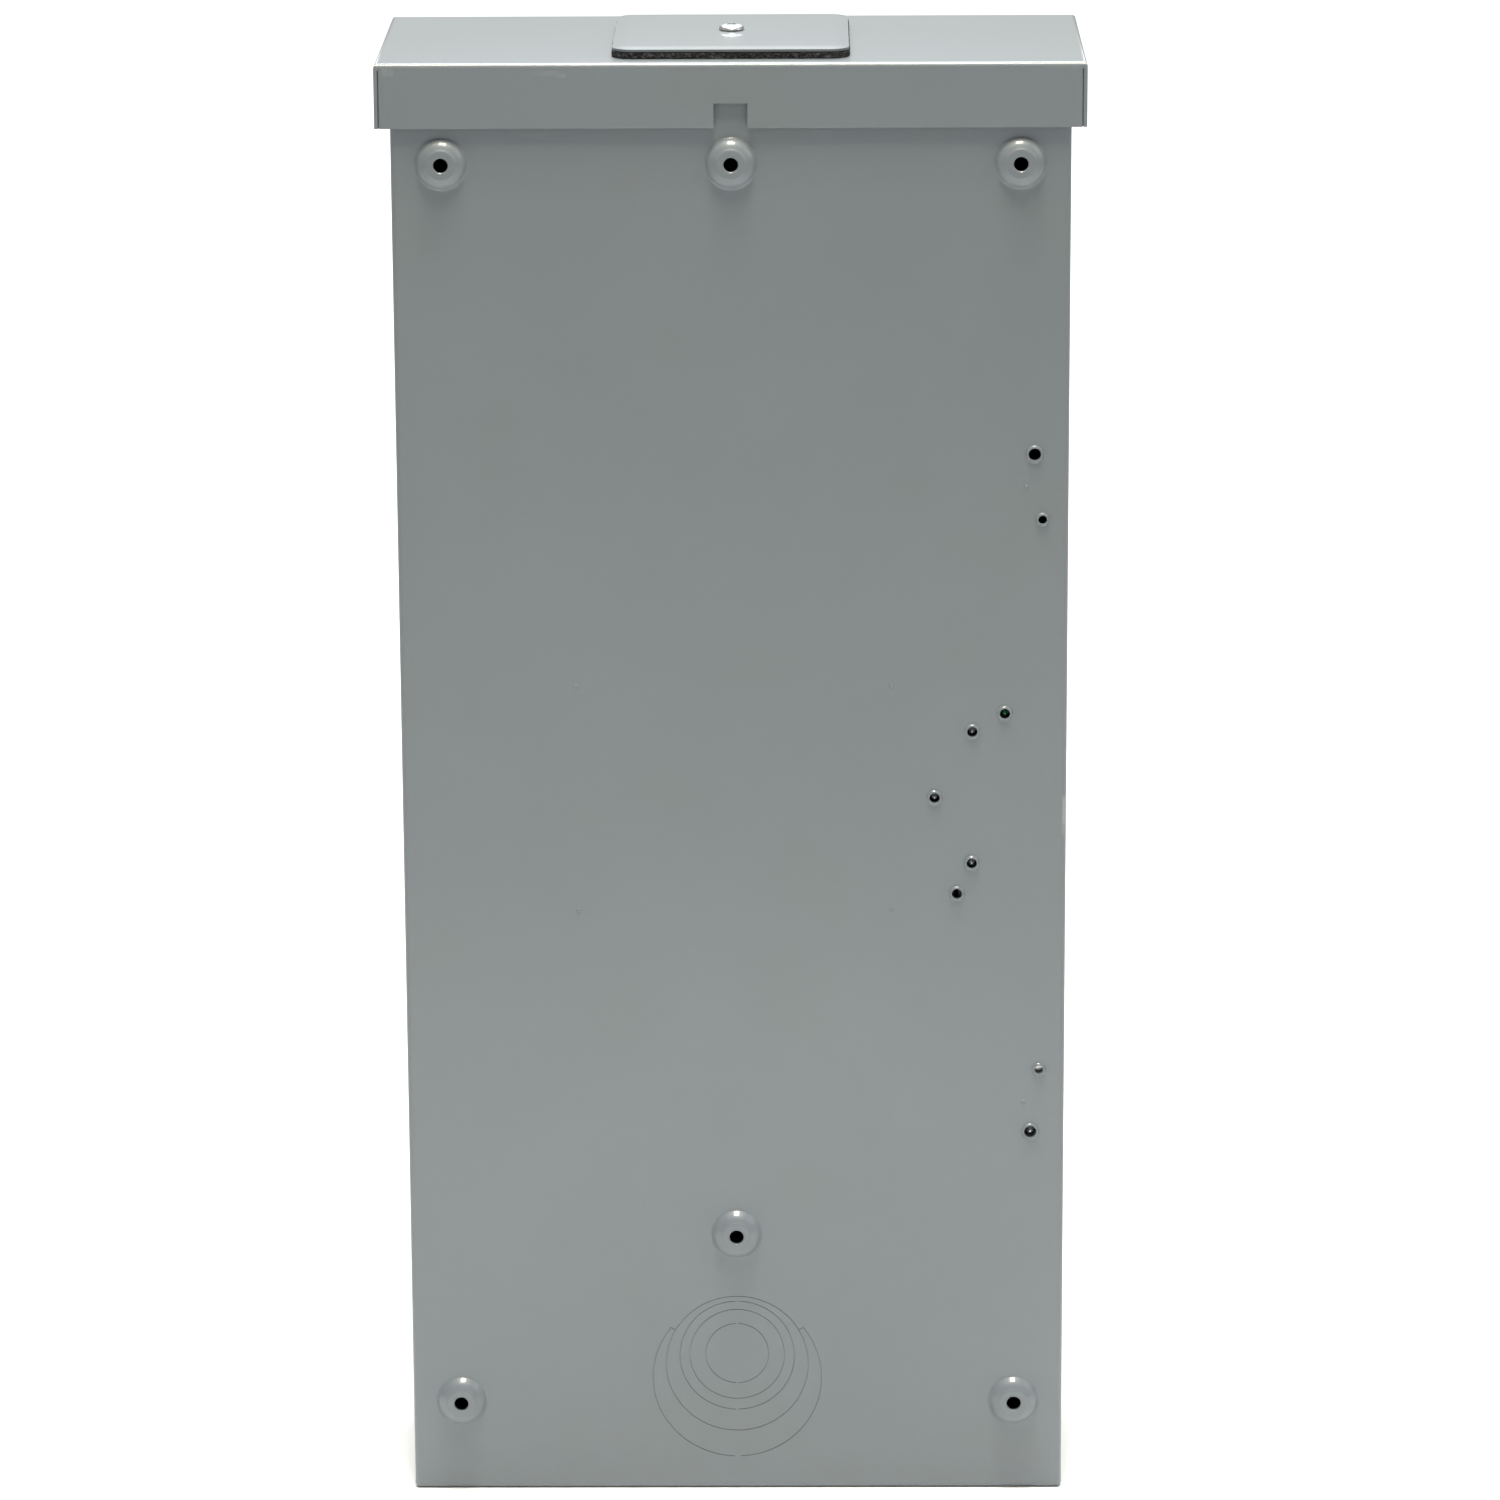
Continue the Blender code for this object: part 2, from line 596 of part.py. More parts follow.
def make_hub_closure():
    gasket = rounded_plate("hub_gasket", HUB_PLATE_WIDTH / 2 + GASKET_MARGIN,
                           HUB_PLATE_LENGTH / 2 + GASKET_MARGIN,
                           (HOOD_TOP + FIT, GASKET_TOP), HUB_PLATE_CORNER, FOAM)

    def gasket_opening(mesh):
        add_rod(mesh, world(0, HUB_DEPTH, HOOD_TOP - OVERSHOOT),
                world(0, HUB_DEPTH, GASKET_TOP + OVERSHOOT), HUB_RADIUS + GASKET_LIP,
                HUB_STEPS)

    combine(gasket, cutter("gasket_opening", gasket_opening))

    mesh = bmesh.new()
    rim = HUB_PLATE_BOTTOM + HUB_PLATE_SHEET
    half_x = HUB_PLATE_WIDTH / 2
    half_y = HUB_PLATE_LENGTH / 2
    add_box(mesh, (-half_x, half_x), (HUB_DEPTH - half_y, HUB_DEPTH + half_y),
            (rim, HUB_PLATE_TOP))
    uprights = [edge for edge in mesh.edges
                if abs(edge.verts[0].co.z - edge.verts[1].co.z) > HUB_PLATE_RISE / 2]
    bmesh.ops.bevel(mesh, geom=uprights, offset=HUB_PLATE_CORNER, segments=CORNER_STEPS,
                    profile=0.5, affect="EDGES")
    bmesh.ops.delete(mesh, geom=facing(mesh, -UP), context="FACES_ONLY")
    centre = world(0, HUB_DEPTH, HUB_PLATE_TOP)
    shrink = Matrix.Translation(centre) @ Matrix.Diagonal(
        (1 - HUB_PLATE_SLOPE / half_x, 1 - HUB_PLATE_SLOPE / half_y, 1.0, 1.0)
    ) @ Matrix.Translation(-centre)
    raised = [corner for corner in mesh.verts if corner.co.z > rim + HUB_PLATE_RISE / 2]
    bmesh.ops.transform(mesh, matrix=shrink, verts=raised)
    plate = make_object("hub_closing_plate", mesh, centre, GREY_PAINT)
    thicken(plate, HUB_PLATE_SHEET)

    def plate_hole(mesh):
        add_rod(mesh, world(0, HUB_DEPTH, HUB_PLATE_BOTTOM - OVERSHOOT),
                world(0, HUB_DEPTH, HUB_PLATE_TOP + OVERSHOOT), HUB_SCREW_RADIUS + FIT)

    combine(plate, cutter("hub_plate_hole", plate_hole))

    bar_top = HOOD_UNDERSIDE - FIT
    bar = block("hub_clamp_bar", around(0, CLAMP_BAR_LENGTH),
                around(HUB_DEPTH, CLAMP_BAR_WIDTH), (bar_top - CLAMP_BAR_SHEET, bar_top),
                GALVANISED)

    def bar_hole(mesh):
        add_rod(mesh, world(0, HUB_DEPTH, bar_top - CLAMP_BAR_SHEET - OVERSHOOT),
                world(0, HUB_DEPTH, bar_top + OVERSHOOT), HUB_SCREW_RADIUS + FIT)

    combine(bar, cutter("clamp_bar_hole", bar_hole))
    screw("hub_plate_screw", world(0, HUB_DEPTH, HUB_PLATE_TOP), UP, HUB_SCREW_RADIUS,
          HUB_SCREW_LENGTH, ZINC, HUB_SCREW_HEAD_RADIUS, HUB_SCREW_HEAD_HEIGHT)


# ---------------------------------------------------------- dead front and door


def cover_screw_centres():
    side = HALF_WIDTH - COVER_SCREW_INSET
    high = HOOD_EDGE_HEIGHT - COVER_SCREW_HIGH_DROP
    return [(-side, high), (side, high), (-side, COVER_SCREW_LOW), (side, COVER_SCREW_LOW)]


def row_height(row):
    """Height of a branch row's middle; row 0 is the top one."""
    return BANK_TOP - BREAKER_PITCH * (row + 0.5)


def make_dead_front():
    cover = block("dead_front", (-COVER_HALF_WIDTH, COVER_HALF_WIDTH),
                  (COVER_BACK, COVER_FRONT), (COVER_FOOT, COVER_TOP), GREY_PAINT)
    root = COVER_BACK + COVER_SHEET / 2
    ear_faces = [sorted((side * EAR_OUTER, side * (EAR_OUTER - COVER_SHEET)))
                 for side in SIDES.values()]

    def ears(mesh):
        for faces in ear_faces:
            add_box(mesh, faces, (root, HINGE_DEPTH), (HINGE_HEIGHT - EAR_LENGTH,
                                                       HINGE_HEIGHT))

    def eyes(mesh):
        for low, high in ear_faces:
            add_rod(mesh, world(low, HINGE_DEPTH, HINGE_HEIGHT),
                    world(high, HINGE_DEPTH, HINGE_HEIGHT), EAR_EYE_RADIUS)

    def windows(mesh):
        deep = (COVER_BACK - OVERSHOOT, COVER_FRONT + OVERSHOOT)
        add_box(mesh, around(0, MAIN_NOSE_WIDTH + WINDOW_GAP * 2), deep,
                around(MAIN_MIDDLE, MAIN_NOSE_HEIGHT + WINDOW_GAP * 2))
        half = BREAKER_PITCH / 2
        heights = (row_height(FILLED_ROWS - 1) - half, row_height(0) + half)
        for side in SIDES.values():
            ends = sorted((side * (NOSE_START - WINDOW_GAP),
                           side * (NOSE_START + NOSE_LENGTH + WINDOW_GAP)))
            add_box(mesh, ends, deep, heights)
        for x, z in cover_screw_centres():
            add_rod(mesh, world(x, deep[0], z), world(x, deep[1], z),
                    COVER_SCREW_RADIUS + FIT, SMALL_STEPS)

    def pin_holes(mesh):
        far = EAR_OUTER + OVERSHOOT
        add_rod(mesh, world(-far, HINGE_DEPTH, HINGE_HEIGHT),
                world(far, HINGE_DEPTH, HINGE_HEIGHT), HINGE_PIN_RADIUS + FIT)

    combine(cover, cutter("hinge_ears", ears), "UNION")
    combine(cover, cutter("hinge_eyes", eyes), "UNION")
    combine(cover, cutter("cover_windows", windows))
    combine(cover, cutter("ear_holes", pin_holes))
    for number, (x, z) in enumerate(cover_screw_centres(), start=1):
        screw(f"dead_front_screw_{number}", world(x, COVER_FRONT, z), FORWARD,
              COVER_SCREW_RADIUS, COVER_SCREW_LENGTH, ZINC)


def make_door():
    mesh = bmesh.new()
    add_box(mesh, (-DOOR_HALF_WIDTH, DOOR_HALF_WIDTH), (DOOR_REAR, DOOR_FRONT),
            (DOOR_FOOT, DOOR_TOP))
    bmesh.ops.delete(mesh, geom=facing(mesh, -FORWARD), context="FACES_ONLY")
    folds = [edge for edge in mesh.edges if not edge.is_boundary]
    bmesh.ops.bevel(mesh, geom=folds, offset=DOOR_BEND, segments=FOLD_STEPS, profile=0.5,
                    affect="EDGES")
    skin = max(mesh.faces, key=lambda face: face.calc_area())
    cuts = [(world(x, 0, 0), ACROSS) for x in around(0, POCKET_WIDTH)]
    cuts += [(world(0, 0, z), UP) for z in around(POCKET_MIDDLE, POCKET_HEIGHT)]
    pieces = [skin]
    for point, normal in cuts:
        geometry = pieces + [edge for face in pieces for edge in face.edges]
        geometry += list({corner for face in pieces for corner in face.verts})
        made = bmesh.ops.bisect_plane(mesh, geom=list(set(geometry)), plane_co=point,
                                      plane_no=normal)
        pieces = [item for item in made["geom"] if isinstance(item, bmesh.types.BMFace)]
    middle = world(0, DOOR_FRONT, POCKET_MIDDLE)
    pocket = min(pieces, key=lambda face: (face.calc_center_median() - middle).length)
    bmesh.ops.inset_individual(mesh, faces=[pocket], thickness=POCKET_DRAFT,
                               depth=-POCKET_DEPTH, use_even_offset=True)
    door = make_object("door", mesh, world(0, HINGE_DEPTH, HINGE_HEIGHT), GREY_PAINT)
    thicken(door, DOOR_SHEET)

    def pin_holes(mesh):
        far = DOOR_HALF_WIDTH + OVERSHOOT
        add_rod(mesh, world(-far, HINGE_DEPTH, HINGE_HEIGHT),
                world(far, HINGE_DEPTH, HINGE_HEIGHT), HINGE_PIN_RADIUS + FIT)

    def relief(mesh):
        far = DOOR_HALF_WIDTH + OVERSHOOT
        add_box(mesh, (-far, far), (DOOR_REAR - OVERSHOOT, DOOR_REAR + DOOR_HEAD_RELIEF),
                (HINGE_HEIGHT - EAR_LENGTH, DOOR_TOP + OVERSHOOT))

    def corner_notches(mesh):
        inner = EAR_OUTER - COVER_SHEET - EAR_GAP
        for side in SIDES.values():
            ends = sorted((side * inner, side * (DOOR_HALF_WIDTH + OVERSHOOT)))
            add_box(mesh, ends, (DOOR_REAR - OVERSHOOT, DOOR_INNER),
                    (HINGE_HEIGHT + CORNER_NOTCH_RISE, DOOR_TOP + OVERSHOOT))

    def hasp_slot(mesh):
        add_box(mesh, around(0, HASP_SHEET + HASP_SLOT_GAP * 2),
                (POCKET_FLOOR - DOOR_SHEET - OVERSHOOT, POCKET_FLOOR + OVERSHOOT),
                around(POCKET_MIDDLE, HASP_HEIGHT + HASP_SLOT_END_GAP * 2))

    combine(door, cutter("door_pin_holes", pin_holes))
    combine(door, cutter("door_relief", relief))
    combine(door, cutter("door_corner_notches", corner_notches))
    combine(door, cutter("hasp_slot", hasp_slot))

    head_top = DOOR_HALF_WIDTH + FIT + HINGE_PIN_HEAD
    length = head_top - EAR_OUTER + COVER_SHEET * 2
    profile = [(0.0, 0.0), (HINGE_PIN_HEAD_RADIUS, 0.0),
               (HINGE_PIN_HEAD_RADIUS, HINGE_PIN_HEAD), (HINGE_PIN_RADIUS, HINGE_PIN_HEAD),
               (HINGE_PIN_RADIUS, length), (0.0, length)]
    for label, side in SIDES.items():
        turned(f"door_hinge_pin_{label}", profile,
               world(side * head_top, HINGE_DEPTH, HINGE_HEIGHT), ACROSS * side, ZINC)


def make_hasp():
    base_back = COVER_FRONT + FIT
    base_front = base_back + COVER_SHEET
    base_height = HASP_HEIGHT + HASP_BASE_MARGIN * 2
    mesh = bmesh.new()
    add_box(mesh, around(0, HASP_SHEET), (base_front - COVER_SHEET / 2, HASP_FRONT),
            around(POCKET_MIDDLE, HASP_HEIGHT))
    nose = [edge for edge in mesh.edges
            if all(corner.co.y < BACK_Y - DOOR_FRONT for corner in edge.verts)
            and abs(edge.verts[0].co.x - edge.verts[1].co.x) > HASP_SHEET / 2]
    bmesh.ops.bevel(mesh, geom=nose, offset=HASP_CORNER, segments=CORNER_STEPS, profile=0.5,
                    affect="EDGES")
    hasp = make_object("padlock_hasp", mesh, world(0, base_back, POCKET_MIDDLE), ZINC)

    def base(mesh):
        add_box(mesh, around(0, HASP_BASE_WIDTH), (base_back, base_front),
                around(POCKET_MIDDLE, base_height))

    def padlock_hole(mesh):
        depth = HASP_FRONT - HASP_HOLE_RADIUS - HASP_HOLE_WALL
        add_rod(mesh, world(-HASP_SHEET - OVERSHOOT, depth, POCKET_MIDDLE),
                world(HASP_SHEET + OVERSHOOT, depth, POCKET_MIDDLE), HASP_HOLE_RADIUS)

    combine(hasp, cutter("hasp_base", base), "UNION")
    combine(hasp, cutter("padlock_hole", padlock_hole))


# --------------------------------------------------------------------- breakers


def outline_block(name, points, z, look):
    """A closed outline in the plan of (across, depth), extruded over a height."""
    curve = bpy.data.curves.new(name, "CURVE")
    curve.dimensions = "2D"
    curve.fill_mode = "BOTH"
    curve.extrude = (z[1] - z[0]) / 2
    spline = curve.splines.new("POLY")
    spline.points.add(len(points) - 1)
    for point, (x, depth) in zip(spline.points, points):
        place = world(x, depth, 0)
        point.co = (place.x, place.y, 0.0, 1.0)
    spline.use_cyclic_u = True
    sketch = bpy.data.objects.new(f"{name}_outline", curve)
    sketch.location = (0, 0, sum(z) / 2)
    CUTTERS.objects.link(sketch)
    bpy.context.view_layer.update()
    shape = bpy.context.evaluated_depsgraph_get()
    data = bpy.data.meshes.new_from_object(sketch.evaluated_get(shape))
    mesh = bmesh.new()
    mesh.from_mesh(data)
    mesh.transform(sketch.matrix_world)
    bmesh.ops.remove_doubles(mesh, verts=mesh.verts, dist=WELD)
    bmesh.ops.recalc_face_normals(mesh, faces=mesh.faces)
    bpy.data.objects.remove(sketch, do_unlink=True)
    bpy.data.meshes.remove(data)
    origin = world(sum(x for x, depth in points) / len(points), CASE_BACK, sum(z) / 2)
    return make_object(name, mesh, origin, look)


def lever(name, pivot, turn_axis, point_to, width, hub_radius, root, end, tip, look):
    """A breaker's handle: a hub across its axis and a tapered lever.

    It is made pointing forward and then turned by point_to degrees.
    """
    mesh = bmesh.new()
    half = turn_axis * (width / 2)
    add_rod(mesh, -half, half, hub_radius, HOLE_STEPS)
    item_hub = make_object(name, mesh, Vector((0, 0, 0)), look)
    across = turn_axis.cross(FORWARD)
    mesh = bmesh.new()
    bmesh.ops.create_cube(mesh, size=1.0)
    for corner in mesh.verts:
        along = turn_axis * (corner.co.x * width)
        reach = FORWARD * (corner.co.y + 0.5) * tip
        thick = root if corner.co.y < 0 else end
        corner.co = along + reach + across * (corner.co.z * thick)
    bmesh.ops.recalc_face_normals(mesh, faces=mesh.faces)
    blade = make_object(f"{name}_lever", mesh, Vector((0, 0, 0)))
    for item in (item_hub, blade):
        item.location = pivot
        item.rotation_euler = Matrix.Rotation(math.radians(point_to), 3,
                                              turn_axis).to_euler()
    combine(item_hub, blade, "UNION")
    return item_hub


def make_branch_breaker(number, side, row):
    height = row_height(row)
    name = f"branch_breaker_{number}"
    outer = BREAKER_INNER + BREAKER_LENGTH
    step = outer - BREAKER_STEP_LENGTH
    step_front = CASE_FRONT - BREAKER_STEP_DEPTH
    corners = [(BREAKER_INNER, CASE_BACK), (outer, CASE_BACK), (outer, step_front),
               (step, step_front), (step, CASE_FRONT), (BREAKER_INNER, CASE_FRONT)]
    points = [(side * x, depth) for x, depth in corners]
    width = BREAKER_PITCH - BREAKER_GAP
    case = outline_block(name, points, around(height, width), BLACK_MOULDING)
    pivot_x = side * BRANCH_PIVOT_OFFSET
    terminal_x = side * (outer - BREAKER_STEP_LENGTH / 2)
    swing = math.radians(BRANCH_SWING / 2)
    reach = (NOSE_FRONT - BRANCH_PIVOT_DEPTH) * math.tan(swing)
    half_slot = reach + BRANCH_LEVER_ROOT / 2 / math.cos(swing) + LEVER_POCKET_GAP

    def nose(mesh):
        add_box(mesh, around(pivot_x, NOSE_LENGTH), (CASE_FRONT - OVERSHOOT, NOSE_FRONT),
                around(height, BREAKER_PITCH - NOSE_SIDE_GAP * 2 - BREAKER_GAP))

    def hollows(mesh):
        add_box(mesh, around(pivot_x, half_slot * 2),
                (BRANCH_PIVOT_DEPTH - BRANCH_HUB_RADIUS - LEVER_POCKET_GAP,
                 NOSE_FRONT + OVERSHOOT),
                around(height, BRANCH_LEVER_WIDTH + LEVER_SIDE_GAP * 2))
        add_box(mesh, around(side * STAB_OFFSET, STAB_SHEET + STAB_SLOT_GAP * 2),
                (CASE_BACK - OVERSHOOT, STAB_FRONT + STAB_SLOT_GAP),
                around(height, STAB_WIDTH + STAB_SLOT_GAP * 2))

    def terminal_hole(mesh):
        add_rod(mesh, world(terminal_x, step_front + OVERSHOOT, height),
                world(terminal_x, step_front - TERMINAL_SCREW_DEPTH - FIT, height),
                TERMINAL_SCREW_RADIUS + FIT, SMALL_STEPS)

    combine(case, cutter(f"{name}_nose", nose), "UNION")
    combine(case, cutter(f"{name}_hollows", hollows))
    combine(case, cutter(f"{name}_terminal_hole", terminal_hole))
    profile = [(0.0, 0.0), (TERMINAL_SCREW_RADIUS, 0.0),
               (TERMINAL_SCREW_RADIUS, TERMINAL_SCREW_DEPTH), (0.0, TERMINAL_SCREW_DEPTH)]
    turned(f"{name}_screw", profile, world(terminal_x, step_front, height), FORWARD, ZINC)
    lever(f"{name}_handle", world(pivot_x, BRANCH_PIVOT_DEPTH, height), UP,
          -side * BRANCH_SWING / 2, BRANCH_LEVER_WIDTH, BRANCH_HUB_RADIUS,
          BRANCH_LEVER_ROOT, BRANCH_LEVER_END, BRANCH_TIP, BLACK_MOULDING)


def make_main_breaker():
    heights = (MAIN_BOTTOM, MAIN_TOP)
    base = block("main_breaker_base", around(0, MAIN_WIDTH),
                 (CASE_BACK, MAIN_SPLIT_DEPTH), heights, BLACK_MOULDING)
    soften(base, BREAKER_EDGE)
    cover = block("main_breaker_cover", around(0, MAIN_WIDTH),
                  (MAIN_SPLIT_DEPTH + FIT, CASE_FRONT), heights, BLACK_MOULDING)
    swing = math.radians(MAIN_SWING / 2)
    reach = (NOSE_FRONT - MAIN_PIVOT_DEPTH) * math.tan(swing)
    half_slot = reach + MAIN_LEVER_ROOT / 2 / math.cos(swing) + LEVER_POCKET_GAP

    def nose(mesh):
        add_box(mesh, around(0, MAIN_NOSE_WIDTH), (CASE_FRONT - OVERSHOOT, NOSE_FRONT),
                around(MAIN_MIDDLE, MAIN_NOSE_HEIGHT))

    def handle_pocket(mesh):
        add_box(mesh, around(0, MAIN_LEVER_WIDTH + LEVER_SIDE_GAP * 2),
                (MAIN_PIVOT_DEPTH - MAIN_HUB_RADIUS - LEVER_POCKET_GAP,
                 NOSE_FRONT + OVERSHOOT), around(MAIN_MIDDLE, half_slot * 2))

    combine(cover, cutter("main_nose", nose), "UNION")
    combine(cover, cutter("main_handle_pocket", handle_pocket))
    lever("main_breaker_handle", world(0, MAIN_PIVOT_DEPTH, MAIN_MIDDLE),
          ACROSS, -MAIN_SWING / 2, MAIN_LEVER_WIDTH, MAIN_HUB_RADIUS,
          MAIN_LEVER_ROOT, MAIN_LEVER_END, MAIN_TIP, BLACK_MOULDING)
    back = CASE_BACK + LUG_RECESS
    for label, side in SIDES.items():
        make_lug(f"main_lug_{label}", side * LUG_SPREAD, LUG_WIDTH,
                 (back, back + LUG_DEPTH),
                 (MAIN_TOP + LUG_GAP, MAIN_TOP + LUG_GAP + LUG_LENGTH))


def make_lug(name, x, width, depth, z):
    """A wire lug: a block with a bore for the wire and a clamping screw."""
    lug = block(name, around(x, width), depth, z, ALUMINIUM)
    middle = sum(z) / 2
    bore_depth = depth[0] + WIRE_BORE_RADIUS + LUG_WALL

    def wire_bore(mesh):
        add_rod(mesh, world(x, bore_depth, z[0] - OVERSHOOT),
                world(x, bore_depth, z[1] + OVERSHOOT), WIRE_BORE_RADIUS)

    def screw_bore(mesh):
        add_rod(mesh, world(x, bore_depth, middle), world(x, depth[1] + OVERSHOOT, middle),
                LUG_SCREW_RADIUS + FIT)

    combine(lug, cutter(f"{name}_wire_bore", wire_bore))
    combine(lug, cutter(f"{name}_screw_bore", screw_bore))
    length = depth[1] - bore_depth - WIRE_BORE_RADIUS / 2
    profile = [(0.0, 0.0), (LUG_SCREW_RADIUS, 0.0), (LUG_SCREW_RADIUS, length),
               (0.0, length)]
    turned(f"{name}_screw", profile, world(x, depth[1], middle), FORWARD, ZINC)


# ------------------------------------------------------------ pan, bus, neutral


def make_interior():
    web = block("interior_pan", around(0, PAN_HALF_WIDTH * 2), (PAN_STAND_OFF, PAN_FRONT),
                (BANK_BOTTOM - PAN_MARGIN, MAIN_TOP + PAN_MARGIN), GALVANISED)
    foot_back = BACK_INNER + FIT
    overlap = PAN_SHEET / 2

    def rails(mesh):
        for side in SIDES.values():
            faces = sorted((side * PAN_HALF_WIDTH, side * (PAN_HALF_WIDTH - PAN_SHEET)))
            add_box(mesh, faces, (PAN_STAND_OFF + overlap, CASE_BACK - RAIL_GAP),
                    (BANK_BOTTOM, BANK_TOP))

    def legs(mesh):
        for side in SIDES.values():
            inner = FOOT_SPREAD - FOOT_WIDTH / 2
            faces = sorted((side * inner, side * (inner + PAN_SHEET)))
            for rise in (-FOOT_RISE, FOOT_RISE):
                add_box(mesh, faces, (foot_back + overlap, PAN_STAND_OFF + overlap),
                        around(INTERIOR_HEIGHT + rise, FOOT_LENGTH))

    def feet(mesh):
        for side in SIDES.values():
            for rise in (-FOOT_RISE, FOOT_RISE):
                add_box(mesh, around(side * FOOT_SPREAD, FOOT_WIDTH),
                        (foot_back, foot_back + PAN_SHEET),
                        around(INTERIOR_HEIGHT + rise, FOOT_LENGTH))

    def screw_hole(mesh):
        add_rod(mesh, world(-PAN_SCREW_OFFSET, PAN_STAND_OFF - OVERSHOOT, INTERIOR_HEIGHT),
                world(-PAN_SCREW_OFFSET, PAN_FRONT + OVERSHOOT, INTERIOR_HEIGHT),
                CLEARANCE_HOLE, SMALL_STEPS)

    combine(web, cutter("pan_rails", rails), "UNION")
    combine(web, cutter("pan_legs", legs), "UNION")
    combine(web, cutter("pan_feet", feet), "UNION")
    combine(web, cutter("pan_screw_hole", screw_hole))
    back_screw("interior_pan_screw", -PAN_SCREW_OFFSET, PAN_FRONT, INTERIOR_HEIGHT,
               MIDDLE_PILOT_RADIUS, ZINC)

    base = block("bus_base", around(0, BUS_BASE_WIDTH), (PAN_FRONT + FIT, BUS_BASE_FRONT),
                 (BANK_BOTTOM - BUS_BASE_MARGIN, MAIN_TOP), BLACK_MOULDING)
    soften(base, BREAKER_EDGE)
    for phase, (label, side) in enumerate(SIDES.items()):
        make_bus_bar(f"bus_bar_{label}", side, phase)


def make_bus_bar(name, side, phase):
    """One phase's bar, with a pair of stab blades on every second row."""
    bar = block(name, around(side * BUS_OFFSET, BUS_WIDTH), (BUS_BACK, BUS_FRONT),
                (BANK_BOTTOM, MAIN_BOTTOM + BUS_OVERRUN), TINNED)
    far = STAB_OFFSET + STAB_SHEET / 2 + FINGER_OVERRUN
    rows = range(phase, ROWS, 2)

    def fingers(mesh):
        ends = sorted((side * BUS_OFFSET, -side * far))
        for row in rows:
            add_box(mesh, ends, (BUS_BACK, BUS_FRONT), around(row_height(row), STAB_WIDTH))

    def blades(mesh):
        for row in rows:
            for place in (-STAB_OFFSET, STAB_OFFSET):
                add_box(mesh, around(place, STAB_SHEET),
                        (BUS_FRONT - BUS_THICKNESS / 2, STAB_FRONT),
                        around(row_height(row), STAB_WIDTH))

    combine(bar, cutter(f"{name}_fingers", fingers), "UNION")
    combine(bar, cutter(f"{name}_blades", blades), "UNION")


def back_screw(name, x, seat_depth, z, pilot_radius, look):
    """A screw that runs from its seat into a pilot hole of the back panel."""
    screw(name, world(x, seat_depth, z), FORWARD, pilot_radius - PILOT_FIT,
          seat_depth + FIT, look)


def drill(item, places, depth):
    """Clearance holes through a piece that lies flat on the back panel."""

    def holes(mesh):
        for x, z in places:
            add_rod(mesh, world(x, depth[0] - OVERSHOOT, z),
                    world(x, depth[1] + OVERSHOOT, z), CLEARANCE_HOLE, SMALL_STEPS)

    combine(item, cutter(f"{item.name}_holes", holes))


def make_neutral():
    base_depth = (BACK_INNER + FIT, NEUTRAL_BASE_FRONT)
    base = block("neutral_base", (-NEUTRAL_BASE_OUTER, -NEUTRAL_BASE_INNER), base_depth,
                 around(INTERIOR_HEIGHT, NEUTRAL_BASE_LENGTH), BLACK_MOULDING)
    screws = [(-NEUTRAL_SCREW_OFFSET, INTERIOR_HEIGHT + rise)
              for rise in (NEUTRAL_SCREW_RISE, -NEUTRAL_SCREW_RISE)]
    bond = (-BOND_OFFSET, BOND_HEIGHT)
    drill(base, screws + [bond], base_depth)
    for number, (x, z) in enumerate(screws, start=1):
        back_screw(f"neutral_base_screw_{number}", x, NEUTRAL_BASE_FRONT, z,
                   MIDDLE_PILOT_RADIUS, ZINC)

    bar_outer = NEUTRAL_BAR_INNER + NEUTRAL_BAR_WIDTH
    bar_depth = (NEUTRAL_BAR_BACK, NEUTRAL_BAR_FRONT)
    bar = block("neutral_bar", (-bar_outer, -NEUTRAL_BAR_INNER), bar_depth,
                around(INTERIOR_HEIGHT, NEUTRAL_BAR_LENGTH), ALUMINIUM)
    drill(bar, [bond], bar_depth)
    back_screw("bonding_screw", -BOND_OFFSET, NEUTRAL_BAR_FRONT, BOND_HEIGHT,
               MIDDLE_PILOT_RADIUS, GREEN_SCREW)
    lug_top = NEUTRAL_BAR_TOP - NEUTRAL_LUG_END
    lug_back = NEUTRAL_BAR_FRONT + FIT
    make_lug("neutral_lug", -NEUTRAL_BAR_INNER - NEUTRAL_BAR_WIDTH / 2, LUG_WIDTH,
             (lug_back, lug_back + NEUTRAL_LUG_DEPTH),
             (lug_top - NEUTRAL_LUG_LENGTH, lug_top))


def make_ground_bar():
    back = BACK_INNER + GROUND_BAR_LIFT
    depth = (back, back + GROUND_BAR_DEPTH)
    bottom = GROUND_SCREW_HEIGHT - GROUND_BAR_END
    bar = block("ground_bar", around(GROUND_SCREW_X, GROUND_BAR_WIDTH), depth,
                (bottom, bottom + GROUND_BAR_LENGTH), ALUMINIUM)
    drill(bar, [(GROUND_SCREW_X, GROUND_SCREW_HEIGHT)], depth)
    back_screw("ground_bar_screw", GROUND_SCREW_X, depth[1], GROUND_SCREW_HEIGHT,
               LARGE_PILOT_RADIUS, ZINC)


# -------------------------------------------------------------------- assembly

make_enclosure()
make_hood()
make_hub_closure()
make_dead_front()
make_door()
make_hasp()
make_interior()
make_neutral()
make_ground_bar()
make_main_breaker()
breaker_number = 0
for filled_row in range(FILLED_ROWS):
    for breaker_side in SIDES.values():
        breaker_number += 1
        make_branch_breaker(breaker_number, breaker_side, filled_row)

for part in PARTS.objects:
    if part.type == "MESH" and not any(step.type == "SCREW" for step in part.modifiers):
        smooth(part)
